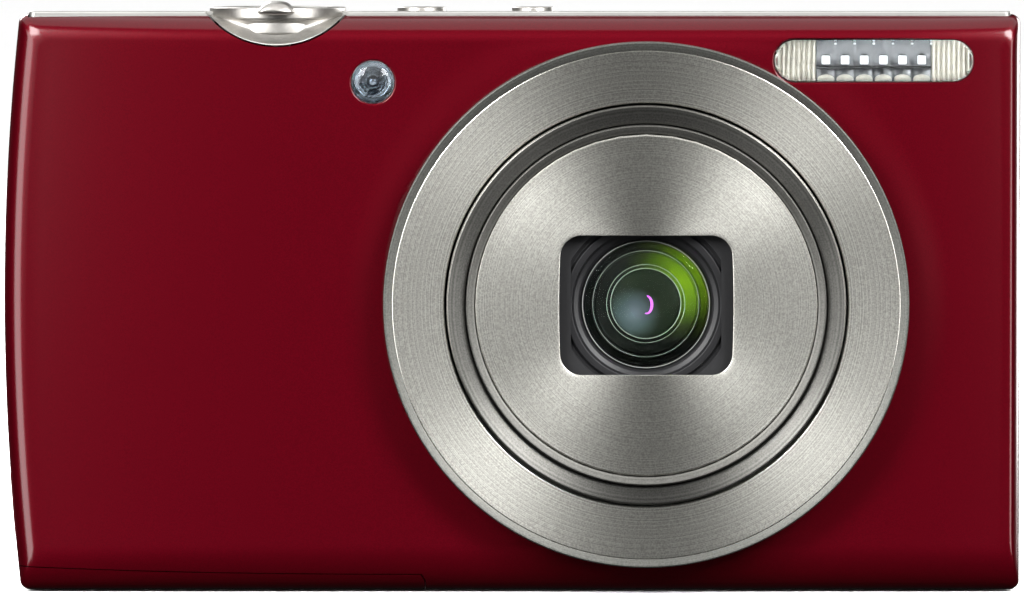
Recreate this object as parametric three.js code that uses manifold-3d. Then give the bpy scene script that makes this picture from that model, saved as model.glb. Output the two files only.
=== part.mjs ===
// A compact digital camera with a retracting zoom lens, built as separate pieces on one frame.
// Millimetres, +X to the right seen from the front, +Y towards the back, +Z up.
// The origin is the middle of the rectangle that the camera stands in, at the height of its base.
import * as THREE from "three";
import { mergeVertices } from "three/addons/utils/BufferGeometryUtils.js";
import Module from "manifold-3d";

const wasm = await Module();
wasm.setup();

// ---------------------------------------------------------------- driving dimensions

const body = {
  width: 95.2,
  height: 54.0,
  front: -7.05,
  rear: 10.75,
  split: 1.0, // where the front and rear covers meet
  wall: 1.0,
  bow: 1.5, // how far the left side's middle stands out past its ends
  corner: 0.9,
  rearRound: 1.8,
};
const frontRound = { depth: 2.0, left: 1.5, right: 1.0, top: 1.5, bottom: 3.0 };
const fullDepth = 22.1;
const frontMost = -fullDepth / 2;
const rearMost = fullDepth / 2;

const gap = 0.1; // between a piece and the hole that it sits in
const lens = { x: 12.5, z: 27.0 };
const ring = { outer: 24.5, bevel: 23.7, inner: 19.1, sleeve: 22.0, front: -10.45, back: -6.2 };
const housing = { outer: 21.8, inner: 21.2, front: -6.0, back: 4.7, plate: 0.8, bore: 7 };
const camRing = { outer: 19.7, inner: 18.9, front: -5.6, back: 2.9, rim: 19.4 };
const shaft = { radius: 0.6, front: -1.5, back: 2.9, clearance: 0.15 };
const motor = { radius: 3.1, front: -5.6, back: -0.2 };
const outerBarrel = { radius: 18.6, bore: 17.0, front: -10.75, back: 3.5 };
const innerBarrel = { radius: 16.8, bore: 15.6, mouth: 16.0, step: 0.9, front: frontMost, back: 3.6 };
const frontPlate = { radius: 15.9, front: frontMost + 0.1, back: frontMost + 0.8 };
const aperture = { halfWidth: 8.15, halfHeight: 6.5, corner: 1.8 };
const blade = {
  height: 3.5,
  halfWidth: 8.7,
  thickness: 0.25,
  corner: 0.5,
  clear: 0.2, // between a parked blade and the opening
  layers: { leading: -10.0, trailing: -9.6 },
};
const bezel = { radius: 15.3, front: -9.2, back: -5.4, mouth: 7.2, throat: 5.95, step: -8.2, rear: 6.4 };
const glass = { radius: 5.8, back: -5.9, edge: -8.0, rise: 1.0 };

const gear = {
  module: 0.6,
  ringTeeth: 68,
  pinionTeeth: 16,
  angle: -48, // where the small gear sits, seen from the front
  turn: 100,
  addendum: 0.5,
  dedendum: 0.65,
  pressureAngle: 20,
  fill: 0.42, // the part of each half pitch that a tooth takes
  front: 0.5,
  back: 2.3,
};

const shutter = { x: -22.0, y: -0.9, ringRadius: 6.4, buttonRadius: 3.15, dishRadius: 6.7 };
const scoop = { radius: 8.5, centreZ: 59.55, back: -3.0 };
const dish = { low: 51.2, high: 53.6 };
const plate = {
  left: -45.2,
  right: 46.7,
  front: -4.9,
  rear: 8.5,
  low: 53.3,
  high: 54.3,
  corner: 0.6,
  sunk: 1.1, // how deep its hole in the covers reaches
};

const topButtons = { y: 1.8, power: { x: -8.5, radius: 2.3 }, zoom: { x: 2.0, radius: 2.0 } };

const flash = { x: 33.8, z: 49.7, halfWidth: 9.25, halfHeight: 1.93 };
const lamp = { x: -13.0, z: 47.7, radius: 1.95 };
const screen = { left: -14.5, right: 45.5, low: 4.2, high: 50.2, corner: 1.4, front: 9.6, face: 10.65 };
const pad = { x: -31.0, z: 24.5, outer: 8.8, inner: 4.1, set: 3.8 };

const hinge = { y: 8.4, z: 0.8, radius: 0.8, bore: 0.45, pin: 0.35, left: -43.0, right: -11.0, behind: 1.05 };
const door = { left: -46.4, innerLeft: -45.4, right: -8.2, rear: 7.3, floor: 1.3 };
const bracket = { low: 1.6, high: 2.3, front: -4.5, halfWeb: 0.5 };
const doorSeam = { end: 0.9, corner: 1.1, right: 1.54, bendX: -36, bend: 1.6, left: 2.3 };
const battery = { left: -44.6, width: 34.6, low: 3.6, height: 40.2, front: -5.6, depth: 5.2 };
const card = { left: -38.0, width: 24.0, height: 32.0, front: 0.8, depth: 2.1, corner: 4 };
const chamber = { front: -5.3, middle: -0.2, middleRear: 0.4, back: 3.2, rear: 3.6, room: 0.3, wall: 0.5 };
const bush = { x: 2.0, y: 2.5, flange: 5.4, boss: 4.6, bore: 3.1, height: 5.0, roof: 0.4 };

const rad = Math.PI / 180;

// ---------------------------------------------------------------- solids from three.js shapes

// The closed solid inside a geometry, facing outwards.
function toSolid(geometry) {
  const bare = geometry.index ? geometry.toNonIndexed() : geometry.clone();
  bare.deleteAttribute("normal");
  bare.deleteAttribute("uv");
  const merged = mergeVertices(bare, 1e-4);
  const vertProperties = merged.getAttribute("position").array;
  const triVerts = new Uint32Array(merged.index.array);
  const made = new wasm.Manifold(new wasm.Mesh({ numProp: 3, vertProperties, triVerts }));
  if (made.volume() > 0) return made;
  return new wasm.Manifold(new wasm.Mesh({ numProp: 3, vertProperties, triVerts: triVerts.reverse() }));
}

// A solid's surface as a geometry with flat faces.
function toGeometry(solid) {
  const mesh = solid.getMesh();
  const geometry = new THREE.BufferGeometry();
  geometry.setAttribute("position", new THREE.BufferAttribute(mesh.vertProperties, 3));
  geometry.setIndex(new THREE.BufferAttribute(mesh.triVerts, 1));
  const flat = geometry.toNonIndexed();
  flat.computeVertexNormals();
  return flat;
}

function block(x0, x1, y0, y1, z0, z1) {
  const geometry = new THREE.BoxGeometry(x1 - x0, y1 - y0, z1 - z0);
  return toSolid(geometry.translate((x0 + x1) / 2, (y0 + y1) / 2, (z0 + z1) / 2));
}

// The same, from named sides. A side that isn't given is far away.
function box({ left = -far, right = far, front = -far, rear = far, low = -far, high = far }) {
  return block(left, right, front, rear, low, high);
}

function rodX(y, z, radius, x0, x1, sides = 20) {
  const geometry = new THREE.CylinderGeometry(radius, radius, x1 - x0, sides);
  return toSolid(geometry.rotateZ(Math.PI / 2).translate((x0 + x1) / 2, y, z));
}

function rodY(x, z, radius, y0, y1, sides = 24) {
  const geometry = new THREE.CylinderGeometry(radius, radius, y1 - y0, sides);
  return toSolid(geometry.translate(x, (y0 + y1) / 2, z));
}

function rodZ(x, y, radius, z0, z1, sides = 24) {
  const geometry = new THREE.CylinderGeometry(radius, radius, z1 - z0, sides);
  return toSolid(geometry.rotateX(Math.PI / 2).translate(x, y, (z0 + z1) / 2));
}

// A solid turned about an axis along Y. The profile is a list of [radius, y].
function turnedY(x, z, profile, sides = 48) {
  const points = profile.map(([radius, y]) => new THREE.Vector2(radius, y));
  return toSolid(new THREE.LatheGeometry(points, sides).translate(x, 0, z));
}

// A solid turned about an axis along Z. The profile is a list of [radius, z].
function turnedZ(x, y, profile, sides = 32) {
  const points = profile.map(([radius, z]) => new THREE.Vector2(radius, z));
  return toSolid(new THREE.LatheGeometry(points, sides).rotateX(Math.PI / 2).translate(x, y, 0));
}

// A ring of rectangular section about an axis along Y.
function hoopY(x, z, outer, inner, y0, y1, sides = 48) {
  const profile = [[inner, y0], [outer, y0], [outer, y1], [inner, y1], [inner, y0]];
  return turnedY(x, z, profile, sides);
}

// A shape drawn in the X and Z directions, drawn out along Y.
function prismY(shape, y0, y1, curveSegments = 6) {
  const settings = { depth: y1 - y0, bevelEnabled: false, curveSegments };
  const geometry = new THREE.ExtrudeGeometry(shape, settings);
  return toSolid(geometry.rotateX(Math.PI / 2).translate(0, y1, 0));
}

// A shape drawn in the X and Y directions, drawn out along Z.
function prismZ(shape, z0, z1, curveSegments = 6) {
  const settings = { depth: z1 - z0, bevelEnabled: false, curveSegments };
  return toSolid(new THREE.ExtrudeGeometry(shape, settings).translate(0, 0, z0));
}

function roundedRectangle(x0, x1, y0, y1, radius) {
  const shape = new THREE.Shape();
  shape.absarc(x1 - radius, y0 + radius, radius, -Math.PI / 2, 0);
  shape.absarc(x1 - radius, y1 - radius, radius, 0, Math.PI / 2);
  shape.absarc(x0 + radius, y1 - radius, radius, Math.PI / 2, Math.PI);
  shape.absarc(x0 + radius, y0 + radius, radius, Math.PI, Math.PI * 1.5);
  shape.closePath();
  return shape;
}

// A closed skin over rings of points that all have the same count, with a fan over each end ring.
function loft(rings) {
  const count = rings[0].length;
  const points = rings.flat();
  const index = [];
  for (let r = 0; r + 1 < rings.length; r += 1) {
    for (let k = 0; k < count; k += 1) {
      const a = r * count + k;
      const b = r * count + ((k + 1) % count);
      index.push(a, b, b + count, a, b + count, a + count);
    }
  }
  const last = (rings.length - 1) * count;
  for (let k = 1; k + 1 < count; k += 1) {
    index.push(0, k + 1, k);
    index.push(last, last + k, last + k + 1);
  }
  const geometry = new THREE.BufferGeometry().setFromPoints(points);
  geometry.setIndex(index);
  return toSolid(geometry);
}

const joined = (first, ...others) => others.reduce((whole, piece) => whole.add(piece), first);
const cut = (first, ...others) => others.reduce((whole, piece) => whole.subtract(piece), first);

// ---------------------------------------------------------------- the body's outer form

// The X of the bowed left side at a height.
function leftSide(z) {
  const middle = body.height / 2;
  return -body.width / 2 + body.bow * ((z - middle) / middle) ** 2;
}

// The outline seen from the front at one depth, with each side set in by its own amount.
function bodyRing(y, inset) {
  const low = inset.bottom;
  const high = body.height - inset.top;
  const right = body.width / 2 - inset.right;
  const radius = body.corner;
  const left = (z) => leftSide(z) + inset.left;
  const corners = [
    [right - radius, low + radius],
    [right - radius, high - radius],
    [left(high - radius) + radius, high - radius],
    [left(low + radius) + radius, low + radius],
  ];
  const cornerSteps = 4;
  const bowSteps = 10;
  const points = [];
  corners.forEach(([x, z], number) => {
    for (let k = 0; k <= cornerSteps; k += 1) {
      const angle = (number - 1 + k / cornerSteps) * 90 * rad;
      points.push(new THREE.Vector3(x + radius * Math.cos(angle), y, z + radius * Math.sin(angle)));
    }
    if (number !== 2) return;
    for (let k = 1; k < bowSteps; k += 1) {
      const height = high - radius - ((high - low - 2 * radius) * k) / bowSteps;
      points.push(new THREE.Vector3(left(height), y, height));
    }
  });
  return points;
}

// The whole outer form, or the space left inside it by a wall.
function bodyForm(wall = 0) {
  const steps = 5;
  const rings = [];
  for (let k = 0; k <= steps; k += 1) {
    const angle = (k / steps) * 90 * rad;
    const rise = 1 - Math.sin(angle);
    const inset = {};
    for (const side of ["left", "right", "top", "bottom"]) inset[side] = wall + frontRound[side] * rise;
    rings.push(bodyRing(body.front + wall + frontRound.depth * (1 - Math.cos(angle)), inset));
  }
  for (let k = 0; k <= steps; k += 1) {
    const angle = (k / steps) * 90 * rad;
    const all = wall + body.rearRound * (1 - Math.cos(angle));
    const y = body.rear - wall - body.rearRound * (1 - Math.sin(angle));
    rings.push(bodyRing(y, { left: all, right: all, top: all, bottom: all }));
  }
  return loft(rings);
}

const far = 100; // well past every face
const outerForm = bodyForm();
const innerForm = bodyForm(body.wall);
const shell = outerForm.subtract(innerForm);
const frontHalf = box({ rear: body.split });
const rearHalf = box({ front: body.split });

// ---------------------------------------------------------------- the model's group

const camera = new THREE.Group();

const finishes = {
  redPaint: { color: 0x8c0a1e, roughness: 0.35, metalness: 0.3 },
  satinSilver: { color: 0xb9b4aa, roughness: 0.4, metalness: 0.9 },
  darkMetal: { color: 0x55534f, roughness: 0.45, metalness: 0.8 },
  blackPlastic: { color: 0x151516, roughness: 0.5, metalness: 0.0 },
  clearPlastic: { color: 0xdfe6e8, roughness: 0.1, metalness: 0.0 },
  glass: { color: 0x20262a, roughness: 0.05, metalness: 0.0 },
  steel: { color: 0x9a9a9a, roughness: 0.35, metalness: 1.0 },
  circuit: { color: 0x12502f, roughness: 0.6, metalness: 0.0 },
  greyPlastic: { color: 0x6a6c6e, roughness: 0.6, metalness: 0.0 },
};

function add(name, solid, finish) {
  const mesh = new THREE.Mesh(toGeometry(solid), new THREE.MeshStandardMaterial(finishes[finish]));
  mesh.name = name;
  camera.add(mesh);
}

// ---------------------------------------------------------------- openings cut in the covers

// The seam of the battery door on the front: nearly level, rising a little towards the left side.
function doorRegion(clearance) {
  const shape = new THREE.Shape();
  const right = door.right + clearance;
  shape.moveTo(-far, -far);
  shape.lineTo(right, -far);
  shape.lineTo(right, doorSeam.end + clearance);
  shape.lineTo(right - doorSeam.corner, doorSeam.right + clearance);
  shape.quadraticCurveTo(doorSeam.bendX, doorSeam.bend + clearance, leftSide(0), doorSeam.left + clearance);
  shape.lineTo(-far, doorSeam.left + clearance);
  shape.closePath();
  return prismY(shape, -far, door.rear + clearance, 8);
}

const hingeBay = box({
  left: door.left,
  right: door.right + gap,
  front: door.rear,
  rear: hinge.y + hinge.behind,
  high: body.wall + 0.5,
});
const ringHole = rodY(lens.x, lens.z, ring.sleeve + gap, -far, 0, 60);
const flashHole = prismY(
  roundedRectangle(
    flash.x - flash.halfWidth - gap,
    flash.x + flash.halfWidth + gap,
    flash.z - flash.halfHeight - gap,
    flash.z + flash.halfHeight + gap,
    flash.halfHeight,
  ),
  -far,
  0,
);
const lampHole = rodY(lamp.x, lamp.z, lamp.radius + gap, -far, 0);
const plateHole = box({
  left: plate.left - gap,
  right: plate.right + gap,
  front: plate.front - gap,
  rear: plate.rear + gap,
  low: body.height - plate.sunk,
});
const dishHole = rodZ(shutter.x, shutter.y, shutter.dishRadius + gap, dish.low - gap, far, 36);
const scoopHole = rodY(shutter.x, scoop.centreZ, scoop.radius, -far, scoop.back + gap, 64);
const bushHole = rodZ(bush.x, bush.y, bush.flange + gap, -far, body.wall + 2, 24);

// A flap in the left side with its hinge barrel along its rear edge, and the hole that it needs.
function sideFlap({ x, front, rear, low, high }) {
  const barrelRadius = 0.55;
  const leafDepth = 0.45;
  const holeDepth = 0.7;
  const room = 0.4; // behind the barrel
  const barrel = rodZ(x, rear, barrelRadius, low, high, 16);
  const leaf = outerForm.intersect(box({ right: x + leafDepth, front, rear, low, high }));
  const hole = box({
    right: x + holeDepth,
    front: front - gap,
    rear: rear + barrelRadius + room,
    low: low - gap,
    high: high + gap,
  });
  return { flap: leaf.add(barrel), hole };
}
const terminalFlap = sideFlap({ x: -46.9, front: 2.9, rear: 7.9, low: 19, high: 35 });
const supplyFlap = sideFlap({ x: -46.2, front: -4.6, rear: -1.2, low: 5, high: 11 });

// ---------------------------------------------------------------- screws

const screw = { head: 1.5, headDepth: 0.7, shank: 0.7, length: 3.0, sunk: 0.05 };

// A pan-head screw along +Z with its head's face at the origin, and its cross recess cut in.
function screwSolid() {
  const head = rodZ(0, 0, screw.head, 0, screw.headDepth, 14);
  const shank = rodZ(0, 0, screw.shank, screw.headDepth - 0.1, screw.length, 8);
  const slot = 0.18;
  const reach = 0.9;
  const crossDepth = 0.4;
  const one = box({ left: -reach, right: reach, front: -slot, rear: slot, high: crossDepth });
  const other = box({ left: -slot, right: slot, front: -reach, rear: reach, high: crossDepth });
  return cut(head.add(shank), one, other);
}

const bottomScrews = { left: [-6.0, 4.5], right: [40.0, 4.5] };
const sideScrews = { lower: [3.8, 12.0], upper: [3.8, 42.0] };
const screwHoles = [];
for (const [x, y] of Object.values(bottomScrews)) {
  screwHoles.push(rodZ(x, y, screw.head + gap, -far, 2, 14));
}
for (const [y, z] of Object.values(sideScrews)) {
  screwHoles.push(rodX(y, z, screw.head + gap, 46, far, 14));
}

function makeScrews() {
  for (const [name, [x, y]] of Object.entries(bottomScrews)) {
    add(`bottom_screw_${name}`, screwSolid().translate([x, y, screw.sunk]), "steel");
  }
  for (const [name, [y, z]] of Object.entries(sideScrews)) {
    const turned = screwSolid().rotate([0, -90, 0]);
    add(`side_screw_${name}`, turned.translate([body.width / 2 - screw.sunk, y, z]), "steel");
  }
}

// ---------------------------------------------------------------- rear buttons

const rearButtons = {
  movie_button: { x: -21.5, z: 44.5, radius: 2.6 },
  playback_button: { x: -22.0, z: 37.0, radius: 2.3 },
  menu_button: { x: -24.5, z: 9.5, radius: 2.3 },
  help_button: { x: -37.5, z: 9.5, radius: 2.3 },
};

// A round cap through the rear wall, with a wider foot behind the wall that keeps it in.
function rearButton({ x, z, radius }) {
  const foot = { front: 8.9, back: 9.3, radius: radius + 0.6 };
  const edge = { depth: 0.2, width: 0.25 };
  const profile = [
    [0, foot.front],
    [foot.radius, foot.front],
    [foot.radius, foot.back],
    [radius, foot.back],
    [radius, rearMost - edge.depth],
    [radius - edge.width, rearMost],
    [0, rearMost],
  ];
  return turnedY(x, z, profile, 20);
}

function rearButtonHoles() {
  const holes = Object.values(rearButtons).map(({ x, z, radius }) => rodY(x, z, radius + gap, 5, far, 20));
  holes.push(rodY(pad.x, pad.z, pad.outer + 2 * gap, 5, far, 32));
  return holes;
}

// ---------------------------------------------------------------- covers

function makeCovers() {
  const frontShell = shell.intersect(frontHalf);
  const front = cut(
    frontShell,
    ringHole,
    flashHole,
    lampHole,
    plateHole,
    dishHole,
    scoopHole,
    bushHole,
    doorRegion(gap),
    supplyFlap.hole,
  );
  add("front_cover", front, "redPaint");

  const window = prismY(
    roundedRectangle(
      screen.left - gap,
      screen.right + gap,
      screen.low - gap,
      screen.high + gap,
      screen.corner + gap,
    ),
    5,
    far,
  );
  const inside = -45;
  const plugHole = box({ right: inside, front: 3.6, rear: 7.4, low: 20, high: 34 });
  const strapHole = box({ right: inside, front: 3.0, rear: 8.0, low: 41.5, high: 48.0 });
  const rear = cut(
    shell.intersect(rearHalf),
    window,
    plugHole,
    strapHole,
    plateHole,
    bushHole,
    hingeBay,
    doorRegion(gap),
    terminalFlap.hole,
    ...screwHoles,
    ...rearButtonHoles(),
  );
  add("rear_cover", rear, "redPaint");
}

// The satin strip along the top, a little proud of the covers.
function makeTopCover() {
  const strip = prismZ(
    roundedRectangle(plate.left, plate.right, plate.front, plate.rear, plate.corner),
    plate.low,
    plate.high,
  );
  const slot = { first: 36, pitch: 1.6, width: 0.6, front: 0.5, rear: 4.5 };
  const speakerSlots = [0, 1, 2, 3].map((k) => {
    const left = slot.first + slot.pitch * k;
    return box({ left, right: left + slot.width, front: slot.front, rear: slot.rear, low: 50 });
  });
  const microphone = { places: [12, 14], radius: 0.4 };
  const soundHoles = microphone.places.map((x) => rodZ(x, topButtons.y, microphone.radius, 50, far, 12));
  const top = cut(
    strip,
    dishHole,
    scoopHole,
    rodZ(topButtons.power.x, topButtons.y, topButtons.power.radius + gap, 50, far),
    rodZ(topButtons.zoom.x, topButtons.y, topButtons.zoom.radius + gap, 50, far),
    ...speakerSlots,
    ...soundHoles,
  );
  add("top_cover", top, "satinSilver");
}

// ---------------------------------------------------------------- shutter group and top buttons

const shutterStem = { radius: 1.2, low: 50.2, high: 52.6 };

// The dish under the zoom lever, whose scooped front runs down the front cover as a crescent.
function makeShutterTrim() {
  const crescent = rodY(shutter.x, scoop.centreZ, scoop.radius - gap, body.front, scoop.back, 64);
  const disc = rodZ(shutter.x, shutter.y, shutter.dishRadius, dish.low, dish.high, 36);
  const below = box({ low: 0, high: dish.high });
  const ball = { radius: 9, stretch: 1.45, y: -14.6, z: 56.5 };
  const hollow = toSolid(
    new THREE.SphereGeometry(ball.radius, 32, 20)
      .rotateX(Math.PI / 2)
      .scale(ball.stretch, 1, 1)
      .translate(shutter.x, ball.y, ball.z),
  );
  const well = rodZ(shutter.x, shutter.y, shutter.buttonRadius + 0.2, dish.low + 0.3, far);
  const stemHole = rodZ(shutter.x, shutter.y, shutterStem.radius + 0.2, 50, far);
  const solid = crescent.add(disc).intersect(below).intersect(outerForm);
  add("shutter_trim", cut(solid, hollow, well, stemHole), "satinSilver");
}

function makeShutterGroup() {
  const { x, y, ringRadius, buttonRadius } = shutter;
  const lever = { bore: buttonRadius + 0.3, low: 53.75, high: 54.65, edge: 0.2 };
  const leverProfile = [
    [lever.bore, lever.low],
    [ringRadius, lever.low],
    [ringRadius, lever.high - lever.edge],
    [ringRadius - lever.edge, lever.high],
    [lever.bore, lever.high],
    [lever.bore, lever.low],
  ];
  const finger = { halfWidth: 1.8, front: y - 8.0, rear: y - 4.6, corner: 0.8, low: 53.95, high: 55.25 };
  const tabShape = roundedRectangle(
    x - finger.halfWidth,
    x + finger.halfWidth,
    finger.front,
    finger.rear,
    finger.corner,
  );
  const tab = prismZ(tabShape, finger.low, finger.high, 4);
  add("zoom_lever", turnedZ(x, y, leverProfile, 36).add(tab), "satinSilver");

  const stem = shutterStem;
  const buttonProfile = [
    [0, stem.low],
    [stem.radius, stem.low],
    [stem.radius, stem.high],
    [buttonRadius, stem.high],
    [buttonRadius, 54.35],
    [buttonRadius - 0.5, 54.6],
    [buttonRadius * 0.5, 54.68],
    [0, 54.72],
  ];
  add("shutter_button", turnedZ(x, y, buttonProfile, 20), "satinSilver");

  for (const [name, { x: across, radius }] of [
    ["power_button", topButtons.power],
    ["auto_zoom_button", topButtons.zoom],
  ]) {
    const foot = { low: 52.5, high: 52.9, radius: radius + 0.5 };
    const cap = { high: 54.6, edge: 0.2 };
    const profile = [
      [0, foot.low],
      [foot.radius, foot.low],
      [foot.radius, foot.high],
      [radius, foot.high],
      [radius, cap.high - 0.15],
      [radius - cap.edge, cap.high],
      [0, cap.high],
    ];
    add(name, turnedZ(across, topButtons.y, profile, 20), "satinSilver");
  }
}

// ---------------------------------------------------------------- lens

// Points of a toothed sector between two angles, going round at the tips and roots.
function toothedRim(points, teeth, radius, firstTooth, lastTooth, toothAngle) {
  const pitch = 360 / teeth;
  const thickness = (gear.fill * Math.PI * gear.module) / 2;
  const slope = Math.tan(gear.pressureAngle * rad);
  const tip = radius + gear.addendum;
  const root = radius - gear.dedendum;
  const halfTip = (thickness - slope * (tip - radius)) / tip / rad;
  const halfRoot = (thickness + slope * (radius - root)) / root / rad;
  for (let k = firstTooth; k <= lastTooth; k += 1) {
    const centre = toothAngle + k * pitch;
    for (const [r, turn] of [[root, -halfRoot], [tip, -halfTip], [tip, halfTip], [root, halfRoot]]) {
      const angle = (centre + turn) * rad;
      points.push(new THREE.Vector2(r * Math.cos(angle), r * Math.sin(angle)));
    }
  }
  return points;
}

const ringPitchRadius = (gear.module * gear.ringTeeth) / 2;
const pinionPitchRadius = (gear.module * gear.pinionTeeth) / 2;
const gearDistance = ringPitchRadius + pinionPitchRadius;
const pinionX = lens.x + gearDistance * Math.cos(gear.angle * rad);
const pinionZ = lens.z + gearDistance * Math.sin(gear.angle * rad);

function makeLensHousing() {
  const { outer, inner, front, back, plate: thickness, bore } = housing;
  const profile = [
    [inner, front],
    [outer, front],
    [outer, back],
    [bore, back],
    [bore, back - thickness],
    [inner, back - thickness],
    [inner, front],
  ];
  const tube = turnedY(lens.x, lens.z, profile, 48);
  const pinionWindow = rodY(pinionX, pinionZ, pinionPitchRadius + 0.9, -0.1, camRing.back, 32);
  add("lens_housing", cut(tube, pinionWindow), "blackPlastic");
}

// The ring that drives the barrels. Its toothed sector covers the whole of its turn.
function makeCamRing() {
  const { outer, inner, front, back } = camRing;
  const band = hoopY(lens.x, lens.z, outer, inner, front, back, 48);
  const pitch = 360 / gear.ringTeeth;
  const last = Math.ceil(gear.turn / pitch) + 2;
  const rim = toothedRim([], gear.ringTeeth, ringPitchRadius, -2, last, gear.angle);
  const start = gear.angle - 2.5 * pitch;
  const end = gear.angle + (last + 0.5) * pitch;
  const arcSteps = 32;
  for (let k = 0; k <= arcSteps; k += 1) {
    const angle = (end + ((start - end) * k) / arcSteps) * rad;
    rim.push(new THREE.Vector2(camRing.rim * Math.cos(angle), camRing.rim * Math.sin(angle)));
  }
  const sector = prismY(new THREE.Shape(rim), gear.front, gear.back);
  add("cam_ring", band.add(sector.translate([lens.x, 0, lens.z])), "blackPlastic");
}

function makeDrive() {
  const pitch = 360 / gear.pinionTeeth;
  const toothAngle = gear.angle + 180 + pitch / 2; // a gap faces the ring's tooth
  const rim = toothedRim([], gear.pinionTeeth, pinionPitchRadius, 0, gear.pinionTeeth - 1, toothAngle);
  const wheel = prismY(new THREE.Shape(rim), gear.front, gear.back);
  const axle = rodY(0, 0, shaft.radius, shaft.front, shaft.back, 12);
  add("drive_gear", wheel.add(axle).translate([pinionX, 0, pinionZ]), "greyPlastic");
  const can = rodY(pinionX, pinionZ, motor.radius, motor.front, motor.back, 28);
  const shaftHole = rodY(pinionX, pinionZ, shaft.radius + shaft.clearance, shaft.front - 0.3, 0, 12);
  add("zoom_motor", cut(can, shaftHole), "steel");
}

function makeLensRing() {
  const profile = [
    [ring.inner, ring.back],
    [ring.inner, ring.front - 0.1],
    [ring.inner + 0.2, ring.front - 0.15],
    [ring.bevel, ring.front + 0.35],
    [ring.outer, ring.front + 1.0],
    [ring.outer, body.front],
    [ring.sleeve, body.front],
    [ring.sleeve, ring.back],
    [ring.inner, ring.back],
  ];
  add("lens_ring", turnedY(lens.x, lens.z, profile, 60), "satinSilver");
}

function makeBarrels() {
  const edge = 0.2;
  const outer = outerBarrel;
  const outerProfile = [
    [outer.bore, outer.front + edge],
    [outer.bore + 0.3, outer.front],
    [outer.radius - edge, outer.front],
    [outer.radius, outer.front + edge],
    [outer.radius, outer.back],
    [outer.bore, outer.back],
    [outer.bore, outer.front + edge],
  ];
  add("outer_barrel", turnedY(lens.x, lens.z, outerProfile, 48), "satinSilver");

  const inner = innerBarrel;
  const innerProfile = [
    [inner.mouth, inner.front],
    [inner.radius - edge, inner.front],
    [inner.radius, inner.front + edge],
    [inner.radius, inner.back],
    [inner.bore, inner.back],
    [inner.bore, inner.front + inner.step],
    [inner.mouth, inner.front + inner.step],
    [inner.mouth, inner.front],
  ];
  add("inner_barrel", turnedY(lens.x, lens.z, innerProfile, 48), "satinSilver");

  const disc = rodY(lens.x, lens.z, frontPlate.radius, frontPlate.front, frontPlate.back, 48);
  const opening = prismY(
    roundedRectangle(
      lens.x - aperture.halfWidth,
      lens.x + aperture.halfWidth,
      lens.z - aperture.halfHeight,
      lens.z + aperture.halfHeight,
      aperture.corner,
    ),
    -far,
    far,
  );
  add("front_plate", cut(disc, opening), "satinSilver");
}

// Four blades close the opening: a leading and a trailing one from above and from below.
function makeBarrier() {
  const parked = aperture.halfHeight + blade.clear;
  const { halfWidth, corner } = blade;
  for (const [side, up] of [["upper", 1], ["lower", -1]]) {
    for (const [role, y] of Object.entries(blade.layers)) {
      const near = lens.z + up * parked;
      const away = lens.z + up * (parked + blade.height);
      const low = Math.min(near, away);
      const high = Math.max(near, away);
      const shape = roundedRectangle(lens.x - halfWidth, lens.x + halfWidth, low, high, corner);
      add(`barrier_${side}_${role}`, prismY(shape, y, y + blade.thickness, 3), "blackPlastic");
    }
  }
}

function makeOptics() {
  const bezelProfile = [
    [bezel.radius, bezel.front],
    [bezel.radius, bezel.back],
    [bezel.rear, bezel.back],
    [bezel.throat, bezel.step],
    [bezel.mouth, bezel.front],
    [bezel.radius, bezel.front],
  ];
  add("lens_bezel", turnedY(lens.x, lens.z, bezelProfile, 36), "blackPlastic");

  const dome = [[0, glass.back], [glass.radius, glass.back], [glass.radius, glass.edge]];
  const domeSteps = 5;
  for (let k = 1; k <= domeSteps; k += 1) {
    const angle = (k / domeSteps) * 90 * rad;
    dome.push([glass.radius * Math.cos(angle), glass.edge - glass.rise * Math.sin(angle)]);
  }
  dome[dome.length - 1][0] = 0;
  add("front_lens", turnedY(lens.x, lens.z, dome, 28), "glass");

  const frame = { outer: 6.0, inner: 4.0, front: -1.4, back: 0.8 };
  const carrier = hoopY(lens.x, lens.z, frame.outer, frame.inner, frame.front, frame.back, 20);
  const element = turnedY(lens.x, lens.z, [[0, -0.9], [4.1, -0.6], [4.1, 0.2], [0, 0.6]], 20);
  const guide = box({
    left: lens.x + frame.outer - 0.5,
    right: lens.x + 9.5,
    front: -1.0,
    rear: 0.4,
    low: lens.z - 1.5,
    high: lens.z + 1.5,
  });
  add("focus_group", joined(carrier, element, guide), "blackPlastic");

  const sensor = { halfWidth: 4.6, halfHeight: 4.0, front: 3.0, rear: housing.back };
  const chip = box({
    left: lens.x - sensor.halfWidth,
    right: lens.x + sensor.halfWidth,
    front: sensor.front,
    rear: sensor.rear,
    low: lens.z - sensor.halfHeight,
    high: lens.z + sensor.halfHeight,
  });
  add("image_sensor", chip, "circuit");
}

// ---------------------------------------------------------------- flash and lamp

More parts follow.
